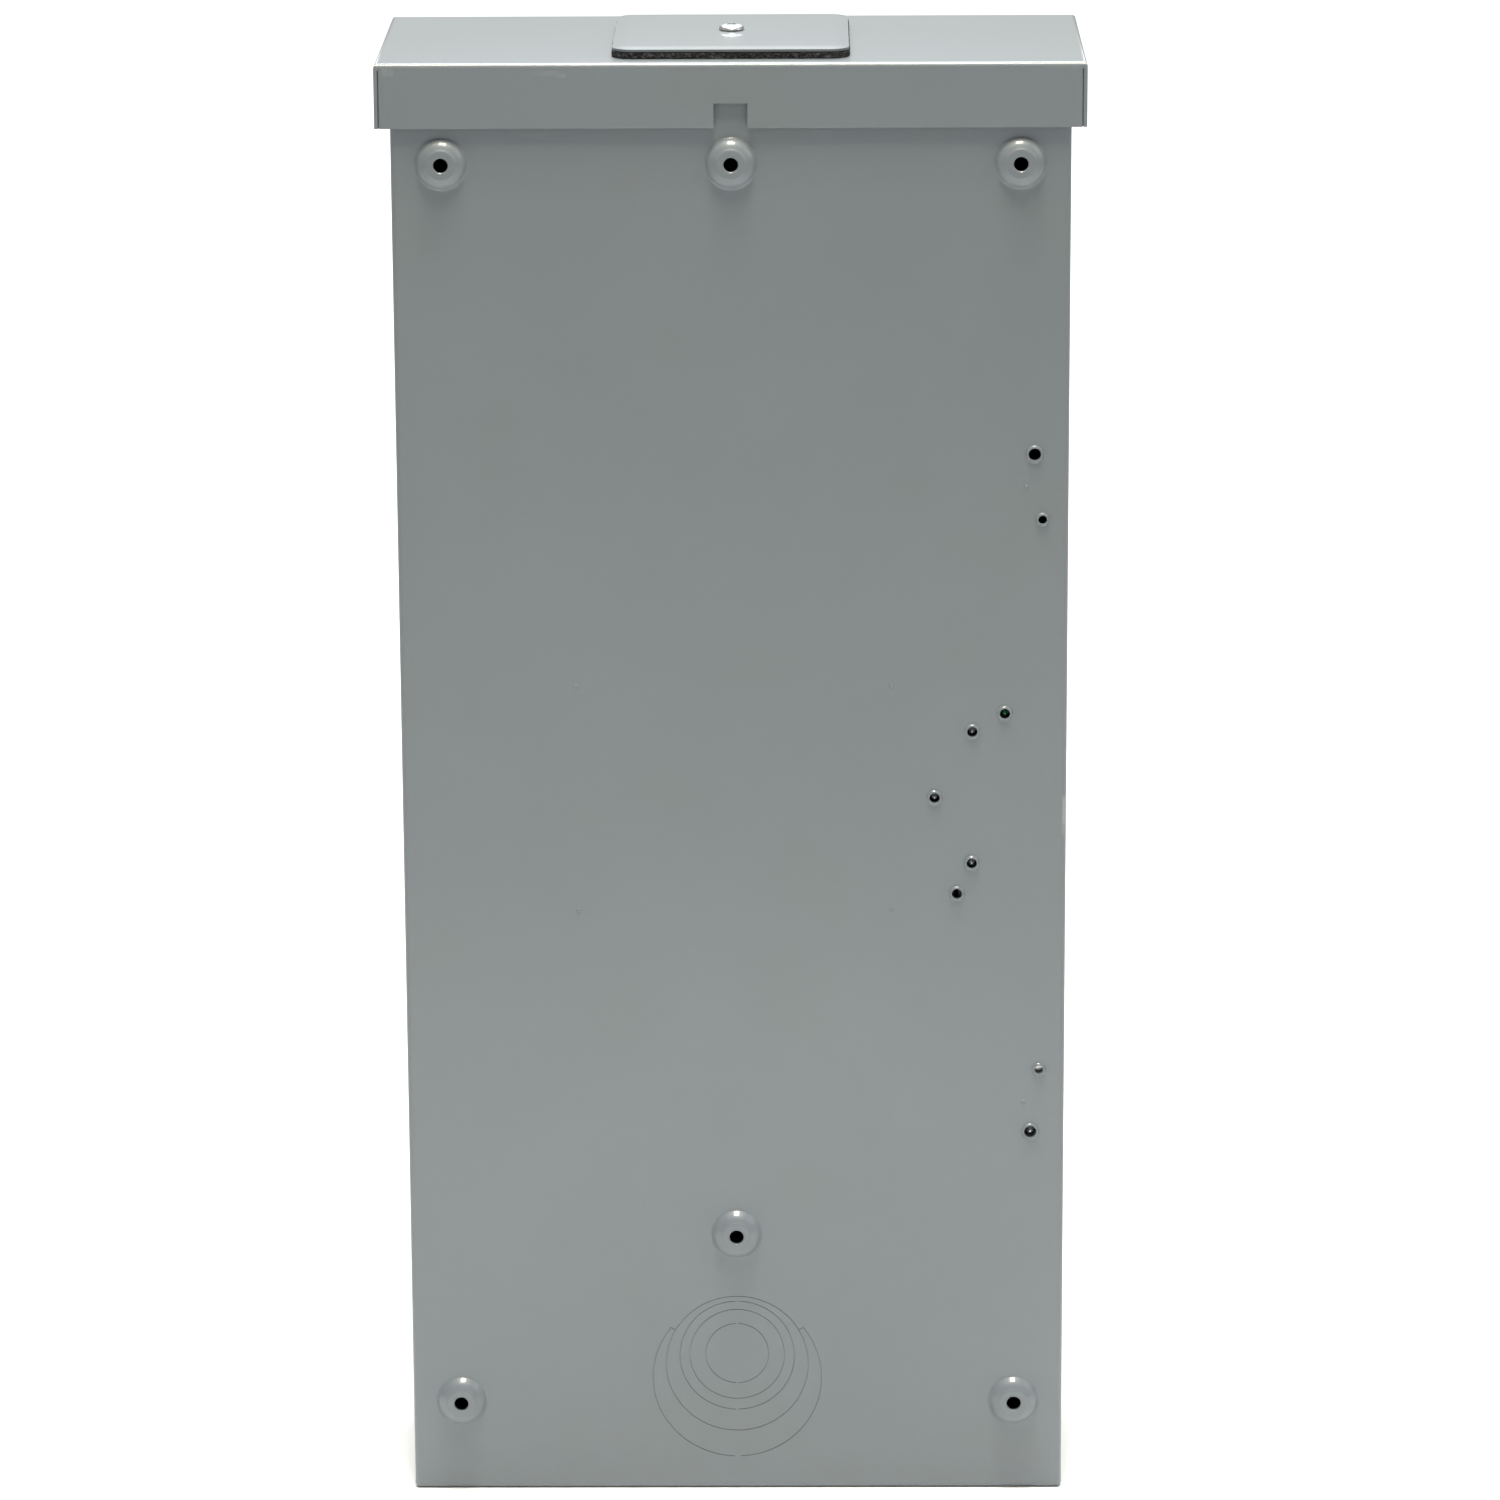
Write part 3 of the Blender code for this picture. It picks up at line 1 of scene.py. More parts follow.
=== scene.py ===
"""Looks of the outdoor breaker panel box.

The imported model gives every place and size. Each visible piece is drawn finer here:
the folded and painted sheets, the drawn bosses and collars of the back panel, the
knockout rings, the hub closing plate on its foam, screws, breakers and bars.

The door faces -Y and the wall is on the +Y side. A depth is counted from the outer
face of the back panel towards the door. Lengths are in metres.
"""

import json
import math

import bmesh
import bpy
from mathutils import Matrix, Vector, noise


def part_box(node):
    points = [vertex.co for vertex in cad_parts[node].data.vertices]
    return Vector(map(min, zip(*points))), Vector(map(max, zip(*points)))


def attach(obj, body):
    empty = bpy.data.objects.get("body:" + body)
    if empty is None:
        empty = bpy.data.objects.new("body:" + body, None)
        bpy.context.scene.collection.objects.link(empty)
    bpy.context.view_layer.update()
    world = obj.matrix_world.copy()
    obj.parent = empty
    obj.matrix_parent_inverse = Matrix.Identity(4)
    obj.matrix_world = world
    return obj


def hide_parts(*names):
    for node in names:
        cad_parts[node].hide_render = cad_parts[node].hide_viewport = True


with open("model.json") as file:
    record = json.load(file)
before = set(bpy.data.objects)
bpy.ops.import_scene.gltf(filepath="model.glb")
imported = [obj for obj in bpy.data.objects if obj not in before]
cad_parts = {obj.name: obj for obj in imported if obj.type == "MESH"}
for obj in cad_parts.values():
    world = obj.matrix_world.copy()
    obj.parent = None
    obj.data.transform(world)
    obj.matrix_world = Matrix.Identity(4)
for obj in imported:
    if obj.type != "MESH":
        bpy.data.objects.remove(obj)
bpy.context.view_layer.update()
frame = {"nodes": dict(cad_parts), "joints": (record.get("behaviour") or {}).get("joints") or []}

FORWARD = Vector((0, -1, 0))
BACKWARD = Vector((0, 1, 0))
UP = Vector((0, 0, 1))
ACROSS = Vector((1, 0, 0))
SIDES = (-1, 1)

# ------------------------------------------------------------------ sizes used here

BOSS_HEIGHT = 0.0035
BOSS_SIDE_INSET = 0.0168
BOSS_TOP_DROP = 0.0122
BOSS_BOTTOM_HEIGHT = 0.0325
BOSS_CENTRE_HEIGHT = 0.0936
BOX_SHEET = 0.0015
BOX_BEND = 0.0018
FRONT_FLANGE = 0.0160
HOOD_SHEET = 0.0012
HOOD_BEND = 0.0016
HOOD_SLIT = 0.0005
NOTCH_WIDTH = 0.0112
NOTCH_HEIGHT = 0.0082
NOTCH_PAST_SHEET = 0.0008
HUB_RADIUS = 0.0310
HUB_CORNER = 0.0065
HUB_SLOPE = 0.0050
HUB_SLOPE_STEPS = 10
HUB_SLOPE_CROWN = 1.3         # 1 is a plain quarter wave
HUB_SHEET = 0.0008
HUB_SCREW_HOLE = 0.0024
HUB_CUT = 0.0030              # how deep the cutters at the hub reach
SCORE = 0.00020               # width of a sheared knockout line
SCORE_DEEP = 0.00030
ARC_STEP = 4                  # degrees of a score line to one flat
OVERRUN = 0.0010              # how far a cutter runs past a face
WELD = 0.00001                # corners nearer than this are one
FLAT_ANGLE = math.radians(0.5)

BOX_LOW, BOX_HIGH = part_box("enclosure_box")
HOOD_LOW, HOOD_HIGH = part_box("hood")
PLATE_LOW, PLATE_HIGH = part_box("hub_closing_plate")
BACK_Y = BOX_HIGH.y - BOSS_HEIGHT
BODY_DEPTH = BACK_Y - BOX_LOW.y
HALF_WIDTH = BOX_HIGH.x
HUB_DEPTH = BACK_Y - (PLATE_LOW.y + PLATE_HIGH.y) / 2


def at(x, depth, z):
    return Vector((x, BACK_Y - depth, z))


def middle(node):
    low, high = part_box(node)
    return (low + high) / 2


# -------------------------------------------------------------------- finish maths


class Value:
    """A socket of a finish, with ordinary arithmetic."""

    def __init__(self, tree, socket):
        self.tree = tree
        self.socket = socket

    def node(self, kind, settings=None, sockets=None, output=0):
        """Another node of the same finish: its settings, then its sockets."""
        made = self.tree.nodes.new("ShaderNode" + kind)
        for key, setting in (settings or {}).items():
            if key == "stops":
                set_stops(made.color_ramp, setting)
            else:
                setattr(made, key, setting)
        for key, value in (sockets or {}).items():
            feed(self.tree, value, made.inputs[key])
        return Value(self.tree, made.outputs[output])

    def maths(self, operation, *values):
        return self.node("Math", {"operation": operation}, dict(enumerate(values)))

    def __add__(self, other):
        return self.maths("ADD", self, other)

    def __radd__(self, other):
        return self.maths("ADD", other, self)

    def __sub__(self, other):
        return self.maths("SUBTRACT", self, other)

    def __rsub__(self, other):
        return self.maths("SUBTRACT", other, self)

    def __mul__(self, other):
        return self.maths("MULTIPLY", self, other)

    def __rmul__(self, other):
        return self.maths("MULTIPLY", other, self)

    def __abs__(self):
        return self.maths("ABSOLUTE", self)

    def least(self, other):
        return self.maths("MINIMUM", self, other)

    def most(self, other):
        return self.maths("MAXIMUM", self, other)

    def step(self, low, high):
        """0 below low and 1 above high, smooth between; high may be the lower one."""
        return self.node("MapRange", {"interpolation_type": "SMOOTHSTEP"},
                         {"Value": self, "From Min": low, "From Max": high})

    def blend(self, first, second):
        """The first colour where this is 0, and the second where it is 1."""
        return self.node("Mix", {"data_type": "RGBA"},
                         {0: self, 6: first, 7: second}, output=2)


def feed(tree, value, socket):
    if isinstance(value, Value):
        tree.links.new(value.socket, socket)
    elif hasattr(value, "__len__") and len(value) == 3 and socket.type == "RGBA":
        socket.default_value = (*value, 1.0)
    else:
        socket.default_value = value


def set_stops(ramp, stops):
    while len(ramp.elements) < len(stops):
        ramp.elements.new(1.0)
    for element, (place, shade) in zip(ramp.elements, stops):
        element.position = place
        element.color = (shade, shade, shade, 1.0)


class Finish:
    """A material being mixed; its surface is one Principled shader."""

    def __init__(self, name, **constants):
        self.material = bpy.data.materials.new(name)
        self.material.use_nodes = True
        self.tree = self.material.node_tree
        self.shader = self.tree.nodes["Principled BSDF"]
        self.constants(constants)
        coordinates = self.tree.nodes.new("ShaderNodeTexCoord")
        self.place = Value(self.tree, coordinates.outputs["Object"])

    def constants(self, values):
        for key, value in values.items():
            feed(self.tree, value, self.shader.inputs[key.replace("_", " ")])

    def set(self, key, value):
        feed(self.tree, value, self.shader.inputs[key])

    def axes(self):
        parts = self.place.node("SeparateXYZ", sockets={0: self.place})
        outputs = parts.socket.node.outputs
        return [Value(self.tree, outputs[axis]) for axis in "XYZ"]

    def stretched(self, scale):
        return self.place.node("Mapping", sockets={"Vector": self.place, "Scale": scale})

    def noise(self, scale, detail=3.0, where=None, distortion=0.0, roughness=0.5):
        return self.place.node("TexNoise", sockets={
            "Vector": where or self.place, "Scale": scale, "Detail": detail,
            "Roughness": roughness, "Distortion": distortion})

    def cells(self, scale, output="Distance"):
        made = self.place.node("TexVoronoi", sockets={"Vector": self.place, "Scale": scale})
        return Value(self.tree, made.socket.node.outputs[output])

    def bump(self, height, distance):
        self.set("Normal", self.place.node("Bump", sockets={
            "Distance": distance, "Height": height}))


def edge_nearness(finish, low, high, width):
    """1 on the edges of a box and 0 further from them than a width."""
    gaps = []
    for axis, first, last in zip(finish.axes(), low, high):
        gaps.append(abs(axis - first).least(abs(axis - last)))
    x, y, z = gaps
    second = x.least(y).most(x.most(y).least(z))
    return second.step(width, 0.0)


def patch_nearness(finish, centre, half):
    """1 at the middle of a patch, falling off to 0 at its half sizes."""
    inside = 1.0
    for axis, place, reach in zip(finish.axes(), centre, half):
        inside = abs(axis - place).step(reach, reach * 0.6) * inside
    return inside


# ------------------------------------------------------------------------ finishes

PAINT = (0.151, 0.171, 0.189)
PAINT_LIGHT = (0.158, 0.177, 0.197)
PAINT_GREEN = (0.153, 0.175, 0.182)
PRIMER = (0.30, 0.31, 0.305)
ZINC_TINT = (0.70, 0.71, 0.72)


def grey_enamel(name, low, high, wear, width, patches=()):
    """Semi-gloss baked enamel, rubbed thin along the edges of a box.

    patches are spots painted paler than the rest: their middle, half sizes and strength.
    """
    finish = Finish(name, Coat_IOR=1.5, Coat_Roughness=0.09, Specular_IOR_Level=0.5)
    clouds = finish.noise(7.0, 4.0, distortion=0.6)
    drifts = finish.noise(19.0, 2.0)
    tone = clouds.step(0.35, 0.70).blend(PAINT, PAINT_LIGHT)
    tone = (drifts.step(0.48, 0.72) * 0.55).blend(tone, PAINT_GREEN)
    specks = finish.cells(900.0).step(0.10, 0.03) * finish.noise(60.0, 2.0).step(0.55, 0.68)
    tone = (specks * 0.5).blend(tone, PRIMER)
    rub = finish.noise(85.0, 4.0, distortion=0.5).step(0.44, 0.62)
    edges = edge_nearness(finish, low, high, width) * rub * wear
    for centre, half, strength in patches:
        edges = edges.most(patch_nearness(finish, centre, half) * (rub * 0.7 + 0.3) * strength)
    tone = edges.blend(tone, PRIMER)
    finish.set("Base Color", tone)
    smear = finish.noise(5.0, 3.0, where=finish.stretched((1.0, 1.0, 0.35)))
    finish.set("Roughness", 0.40 + smear * 0.10 + edges * 0.12)
    finish.set("Coat Weight", 0.55 - edges * 0.3)
    peel = finish.noise(620.0, 2.0)
    waves = finish.noise(34.0, 1.0)
    finish.bump(peel * 0.35 + waves, 0.00006)
    return finish.material


def zinc_plate():
    finish = Finish("bright_zinc", Metallic=1.0)
    clouds = finish.noise(260.0, 3.0)
    dull = tuple(channel * 0.72 for channel in ZINC_TINT)
    finish.set("Base Color", clouds.step(0.35, 0.7).blend(ZINC_TINT, dull))
    scratches = finish.noise(2400.0, 2.0, where=finish.stretched((1.0, 1.0, 0.12)))
    finish.set("Roughness", 0.20 + clouds * 0.16 + scratches * 0.08)
    finish.bump(scratches, 0.00002)
    return finish.material


def galvanised():
    finish = Finish("galvanised_steel", Metallic=1.0)
    spangle = finish.cells(150.0, output="Color")
    grain = spangle.node("SeparateColor", sockets={0: spangle})
    fine = finish.noise(900.0, 2.0)
    finish.set("Base Color", grain.blend((0.47, 0.49, 0.51), (0.66, 0.67, 0.68)))
    finish.set("Roughness", 0.30 + grain * 0.14 + fine * 0.08)
    finish.bump(grain * 0.6 + fine * 0.4, 0.00003)
    return finish.material


def drawn_metal(name, light, dark, along):
    """Extruded or rolled bar stock with fine lines along its length."""
    finish = Finish(name, Metallic=1.0)
    lines = finish.noise(1500.0, 3.0, where=finish.stretched(along))
    clouds = finish.noise(90.0, 3.0)
    finish.set("Base Color", (lines * 0.5 + clouds * 0.5).step(0.35, 0.68).blend(light, dark))
    finish.set("Roughness", 0.26 + lines * 0.20)
    finish.bump(lines, 0.00002)
    return finish.material


def moulding(name, colour, roughness=0.46):
    """Thermoset case material: fine spark-eroded grain and slightly shiny rub marks."""
    finish = Finish(name, Specular_IOR_Level=0.5)
    grain = finish.noise(2600.0, 3.0)
    clouds = finish.noise(60.0, 3.0)
    pale = tuple(min(1.0, channel * 1.9 + 0.004) for channel in colour)
    finish.set("Base Color", (clouds.step(0.4, 0.8) * 0.35 + grain.step(0.62, 0.8) * 0.25)
               .blend(colour, pale))
    finish.set("Roughness", roughness - clouds.step(0.5, 0.8) * 0.12 + grain * 0.06)
    finish.bump(grain, 0.00005)
    return finish.material


def foam():
    finish = Finish("closed_cell_foam", Specular_IOR_Level=0.25)
    cells = finish.cells(1500.0)
    tufts = finish.noise(500.0, 4.0, roughness=0.7)
    finish.set("Base Color", (cells * tufts * 1.6).step(0.25, 0.75)
               .blend((0.010, 0.010, 0.012), (0.075, 0.070, 0.075)))
    finish.set("Roughness", 0.82 + tufts * 0.16)
    finish.bump(cells + tufts, 0.00025)
    return finish.material


def green_plate():
    finish = Finish("green_plate", Metallic=0.85)
    clouds = finish.noise(300.0, 3.0)
    finish.set("Base Color", clouds.step(0.3, 0.7).blend((0.04, 0.17, 0.08), (0.07, 0.26, 0.13)))
    finish.set("Roughness", 0.26 + clouds * 0.18)
    finish.bump(clouds, 0.00002)
    return finish.material


def pale_floor():
    finish = Finish("pale_floor", Specular_IOR_Level=0.1)
    clouds = finish.noise(1.5, 2.0)
    finish.set("Base Color", clouds.blend((0.88, 0.88, 0.88), (0.90, 0.90, 0.90)))
    finish.set("Roughness", 0.75 + clouds * 0.1)
    return finish.material


ZINC = zinc_plate()
GALVANISED = galvanised()
TINNED = drawn_metal("tinned_bar", (0.80, 0.80, 0.79), (0.60, 0.60, 0.60), (1.0, 1.0, 0.04))
ALUMINIUM = drawn_metal("extruded_aluminium", (0.82, 0.82, 0.83), (0.66, 0.67, 0.68),
                        (1.0, 1.0, 0.03))
BLACK = moulding("black_moulding", (0.020, 0.020, 0.022))
HANDLE_BLACK = moulding("handle_moulding", (0.014, 0.014, 0.015), 0.34)
FOAM = foam()
GREEN = green_plate()


# ------------------------------------------------------------------- mesh helpers


def add_block(mesh, x, depth, z):
    """A box from three spans: across, in depth and in height."""
    low = at(x[0], depth[1], z[0])
    high = at(x[1], depth[0], z[1])
    place = Matrix.Translation((low + high) / 2) @ Matrix.Diagonal((*(high - low), 1.0))
    return bmesh.ops.create_cube(mesh, size=1.0, matrix=place)["verts"]


def add_rod(mesh, start, end, radius, steps=32):
    along = end - start
    turn = along.to_track_quat("Z", "Y").to_matrix().to_4x4()
    place = Matrix.Translation((start + end) / 2) @ turn
    bmesh.ops.create_cone(mesh, cap_ends=True, segments=steps, radius1=radius, radius2=radius,
                          depth=along.length, matrix=place)


def add_turned(mesh, profile, origin, direction, steps=40):
    """A turned body: (radius, distance) pairs that start and end on the axis."""
    corners = [mesh.verts.new((radius, 0.0, distance)) for radius, distance in profile]
    edges = [mesh.edges.new(pair) for pair in zip(corners, corners[1:])]
    before = set(mesh.verts) - set(corners)
    bmesh.ops.spin(mesh, geom=corners + edges, axis=(0, 0, 1), cent=(0, 0, 0),
                   angle=math.tau, steps=steps, use_merge=True)
    made = [corner for corner in mesh.verts if corner not in before]
    bmesh.ops.remove_doubles(mesh, verts=made, dist=WELD)
    made = [corner for corner in mesh.verts if corner not in before]
    turn = direction.to_track_quat("Z", "Y").to_matrix().to_4x4()
    bmesh.ops.transform(mesh, matrix=Matrix.Translation(origin) @ turn, verts=made)


def add_arc_groove(mesh, centre, normal, radius, start, end):
    """A thin curved bar that cuts a score line; angles in degrees from across, towards up."""
    rise = normal.cross(ACROSS)
    if rise.z < 0 or (abs(rise.z) < 0.5 and rise.y < 0):
        rise = -rise
    first = math.radians(start)
    outward = ACROSS * math.cos(first) + rise * math.sin(first)
    corners = []
    for out, high in ((-1, -SCORE_DEEP), (1, -SCORE_DEEP), (1, OVERRUN), (-1, OVERRUN)):
        place = centre + outward * (radius + out * SCORE / 2) + normal * high
        corners.append(mesh.verts.new(place))
    face = mesh.faces.new(corners)
    before = set(mesh.verts) - set(corners)
    bmesh.ops.spin(mesh, geom=[face, *face.edges, *corners], axis=ACROSS.cross(rise),
                   cent=centre, angle=math.radians(end - start),
                   steps=max(3, int((end - start) / ARC_STEP)))
    made = [corner for corner in mesh.verts if corner not in before]
    edges = {edge for corner in made for edge in corner.link_edges if edge.is_boundary}
    bmesh.ops.holes_fill(mesh, edges=list(edges), sides=4)


def new_piece(name, mesh, finish, body="box", replaces=()):
    """A finished mesh as a piece that rides on a body and stands for its nodes."""
    data = bpy.data.meshes.new(name)
    mesh.to_mesh(data)
    mesh.free()
    data.materials.append(finish)
    piece = bpy.data.objects.new(name, data)
    bpy.context.scene.collection.objects.link(piece)
    if replaces:
        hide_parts(*replaces)
    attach(piece, body)
    return piece


def settle(piece):
    """Apply the piece's modifiers."""
    bpy.context.view_layer.update()
    graph = bpy.context.evaluated_depsgraph_get()
    data = bpy.data.meshes.new_from_object(piece.evaluated_get(graph))
    old = piece.data
    piece.modifiers.clear()
    piece.data = data
    bpy.data.meshes.remove(old)
    data.name = piece.name


def carve(piece, build, operation="DIFFERENCE"):
    """Cut away, or join on, the shapes that build() adds."""
    mesh = bmesh.new()
    build(mesh)
    bmesh.ops.recalc_face_normals(mesh, faces=mesh.faces)
    data = bpy.data.meshes.new("tool")
    mesh.to_mesh(data)
    mesh.free()
    tool = bpy.data.objects.new("tool", data)
    bpy.context.scene.collection.objects.link(tool)
    step = piece.modifiers.new("carve", "BOOLEAN")
    step.object = tool
    step.operation = operation
    step.solver = "EXACT"
    settle(piece)
    bpy.data.objects.remove(tool, do_unlink=True)
    bpy.data.meshes.remove(data)


def thicken(piece, sheet):
    wall = piece.modifiers.new("sheet", "SOLIDIFY")
    wall.thickness = sheet
    wall.offset = -1.0
    wall.use_even_offset = True
    settle(piece)


def merge_flats(mesh):
    """Weld a mesh and join the faces that lie in one flat."""
    bmesh.ops.remove_doubles(mesh, verts=mesh.verts, dist=WELD)
    bmesh.ops.dissolve_limit(mesh, angle_limit=FLAT_ANGLE, verts=mesh.verts, edges=mesh.edges)


def dissolve_flats(piece):
    mesh = bmesh.new()
    mesh.from_mesh(piece.data)
    merge_flats(mesh)
    mesh.to_mesh(piece.data)
    mesh.free()


def round_edges(piece, width, segments=3, angle=35.0):
    edge = piece.modifiers.new("edges", "BEVEL")
    edge.width = width
    edge.segments = segments
    edge.limit_method = "ANGLE"
    edge.angle_limit = math.radians(angle)
    edge.use_clamp_overlap = True
    settle(piece)


def shade(piece, angle=32.0):
    """Smooth shading with crisp corners, flat faces staying flat."""
    piece.data.shade_smooth()
    piece.data.set_sharp_from_angle(angle=math.radians(angle))
    flat = piece.modifiers.new("flat faces", "WEIGHTED_NORMAL")
    flat.mode = "FACE_AREA"
    flat.weight = 50
    flat.keep_sharp = True


def copy_of(node, name, finish, body="box"):
    """A piece that starts as a merged copy of a CAD node's solid."""
    mesh = bmesh.new()
    mesh.from_mesh(frame["nodes"][node].data)
    merge_flats(mesh)
    for face in mesh.faces:
        face.material_index = 0
    return new_piece(name, mesh, finish, body, (node,))


def rounded_copy(node, name, finish, width, segments=3, angle=35.0):
    """A copy of a CAD node's solid with its edges taken off."""
    piece = copy_of(node, name, finish)
    round_edges(piece, width, segments, angle)
    shade(piece)


def turned_piece(node, name, profile, top, direction, finish):
    """A turned piece that reaches back from its top and stands for a CAD node."""
    mesh = bmesh.new()
    add_turned(mesh, profile, top, -direction)
    bmesh.ops.recalc_face_normals(mesh, faces=mesh.faces)
    return new_piece(name, mesh, finish, "box", (node,))


# -------------------------------------------------------------------- the enclosure

BOSS_FORM = [(0.00990, 0.0), (0.00900, 0.0), (0.00870, 0.00010), (0.00845, 0.00040),
             (0.00800, 0.00105), (0.00740, 0.00175), (0.00675, 0.00232), (0.00610, 0.00272),
             (0.00560, 0.00294), (0.00530, 0.00312), (0.00505, 0.00335), (0.00470, 0.00348),
             (0.00430, 0.00350), (0.00300, 0.00350), (0.00265, 0.00343), (0.00246, 0.00325),
             (0.00240, 0.00295), (0.00240, 0.00210), (0.00400, 0.00200), (0.00510, 0.00150),
             (0.00640, 0.00050), (0.00770, -0.00080), (0.00860, -0.00140), (0.00990, -0.00150)]
COLLAR_WALL = 0.0010
COLLAR_HEIGHT = 0.0008
PIP_RADIUS = 0.0009
PIP_HEIGHT = 0.00028
PIP_STEPS = 16
BOSS_STEPS = 56
PILOT_STEPS = 28
ROWS_MIDDLE = 0.2501          # height of the middle of the breaker rows
BREAKER_PITCH = 0.0254
PILOT = 0.0017                # radii of the holes for the inner screws
GROUND_PILOT = 0.00205
SMALL_PILOT = 0.0014
PAIRED_PILOTS = (             # across, rise over and under the rows' middle, radius
    (0.0116 - HALF_WIDTH, 0.1192, GROUND_PILOT), (0.0088 - HALF_WIDTH, 0.0968, SMALL_PILOT),
    (-0.0807, 0.02315, PILOT))
SINGLE_PILOTS = ((-0.0680, 0.0), (-0.0917, 0.0295), (-0.0757, -0.0339))
PAN_PIP_X = 0.0533
PAN_PIP_RISES = (-0.0396, 0.0393)
GROUND_PIPS = [(-0.0985, 0.3580), (-0.0987, 0.1415)]


def boss_centres():
    side = HALF_WIDTH - BOSS_SIDE_INSET
    top = HOOD_LOW.z - BOSS_TOP_DROP
    return [(-side, top), (0.0, top), (side, top), (0.0, BOSS_CENTRE_HEIGHT),
            (-side, BOSS_BOTTOM_HEIGHT), (side, BOSS_BOTTOM_HEIGHT)]


def pilot_holes():
    """Across, height and radius of the holes that the inner screws bite into."""
    holes = [(x, ROWS_MIDDLE + side * rise, radius)
             for side in SIDES for x, rise, radius in PAIRED_PILOTS]
    return holes + [(x, ROWS_MIDDLE + rise, PILOT) for x, rise in SINGLE_PILOTS]


def pips():
    """Small raised marks over the pan's feet and beside the ground screws."""
    marks = [(side * PAN_PIP_X, ROWS_MIDDLE + rise) for side in SIDES for rise in PAN_PIP_RISES]
    return marks + GROUND_PIPS


def collar_form(radius):
    """A hole whose lip is pulled outwards: outer skin, bore and rounded inner mouth."""
    outer = radius + COLLAR_WALL
    return [(outer + 0.0003, 0.0), (outer, 0.00010), (outer - 0.00015, 0.00050),
            (outer - 0.00040, 0.00074), (radius + 0.00030, COLLAR_HEIGHT),
            (radius + 0.00006, COLLAR_HEIGHT - 0.00010), (radius, COLLAR_HEIGHT - 0.00035),
            (radius, -0.00090), (radius + 0.00020, -0.00130), (outer + 0.0003, -BOX_SHEET)]


def drawn_forms():
    """Where the sheet is drawn out: centre, profile and number of steps round it."""
    forms = [(at(x, 0, z), BOSS_FORM, BOSS_STEPS) for x, z in boss_centres()]
    return forms + [(at(x, 0, z), collar_form(radius), PILOT_STEPS)
                    for x, z, radius in pilot_holes()]


def fit_form(mesh, centre, form, steps):
    """Take out a round hole's plain wall and fit the drawn form between its two rims."""
    rim = form[0][0]
    wall = []
    for face in mesh.faces:
        arms = [corner.co - centre for corner in face.verts]
        if all(abs(math.hypot(arm.x, arm.z) - rim) < WELD * 2 for arm in arms):
            wall.append(face)
    bmesh.ops.delete(mesh, geom=wall, context="FACES")
    add_turned(mesh, form, centre, BACKWARD, steps)


# height and half sizes of a paler spot painted on the left back edge of the box
PALE_SPOT_HEIGHT = 0.2435
PALE_SPOT_HALF = (0.0018, 0.0030, 0.0085)
HOOD_SCUFFS = [(0.0610, 0.4985, 0.0060, 0.0012), (0.0560, 0.4978, 0.0022, 0.0008),
               (-0.1100, 0.5002, 0.0060, 0.0008), (0.1130, 0.4990, 0.0025, 0.0018)]
TIE_TURN = 5.0                # degrees of a tie on a ring of the radius below
TIE_RADIUS = 0.012
RING_MIDDLE = 0.0500
BACK_RINGS = [(0.0109, 0.0), (0.0164, 0.0003), (0.0199, 0.0008), (0.0247, 0.0038)]
OUTER_RING = (0.0293, 0.0412)
OUTER_RING_ARCS = ((142.0, 268.0), (272.0, 398.0))
RING_EAR = (0.0222, 0.0590)   # across and height of the outer ring's short end lines
RING_EAR_TURN = 60
RING_EAR_LENGTH = 0.0022
BOTTOM_KNOCKOUTS = ((-0.062, (0.0111, 0.0142)), (0.0, (0.0111, 0.0142, 0.0175, 0.0222)),
                    (0.062, (0.0111, 0.0142, 0.0175)))
COVER_SCREW_HOLE = 0.0021
DRAIN_HOLE = 0.0024
DRAIN_HOLE_X = 0.095
DRAIN_HOLE_DEPTH = 0.012


def knockout(mesh, centre, normal, rings):
    """Score lines of a nest of knockouts; each ring is (radius, drop of its centre).

    Two ties hold each ring, and the next ring's ties stand crosswise to them.
    """
    for number, (radius, drop) in enumerate(rings):
        turn = 0.0 if number % 2 == 0 else 90.0
        offset = Vector((0, 0, -drop)) if abs(normal.z) < 0.5 else Vector((0, drop, 0))
        gap = TIE_TURN * TIE_RADIUS / radius
        for tie in (90.0 + turn, 270.0 + turn):
            add_arc_groove(mesh, centre + offset, normal, radius, tie + gap / 2,
                           tie + 180.0 - gap / 2)


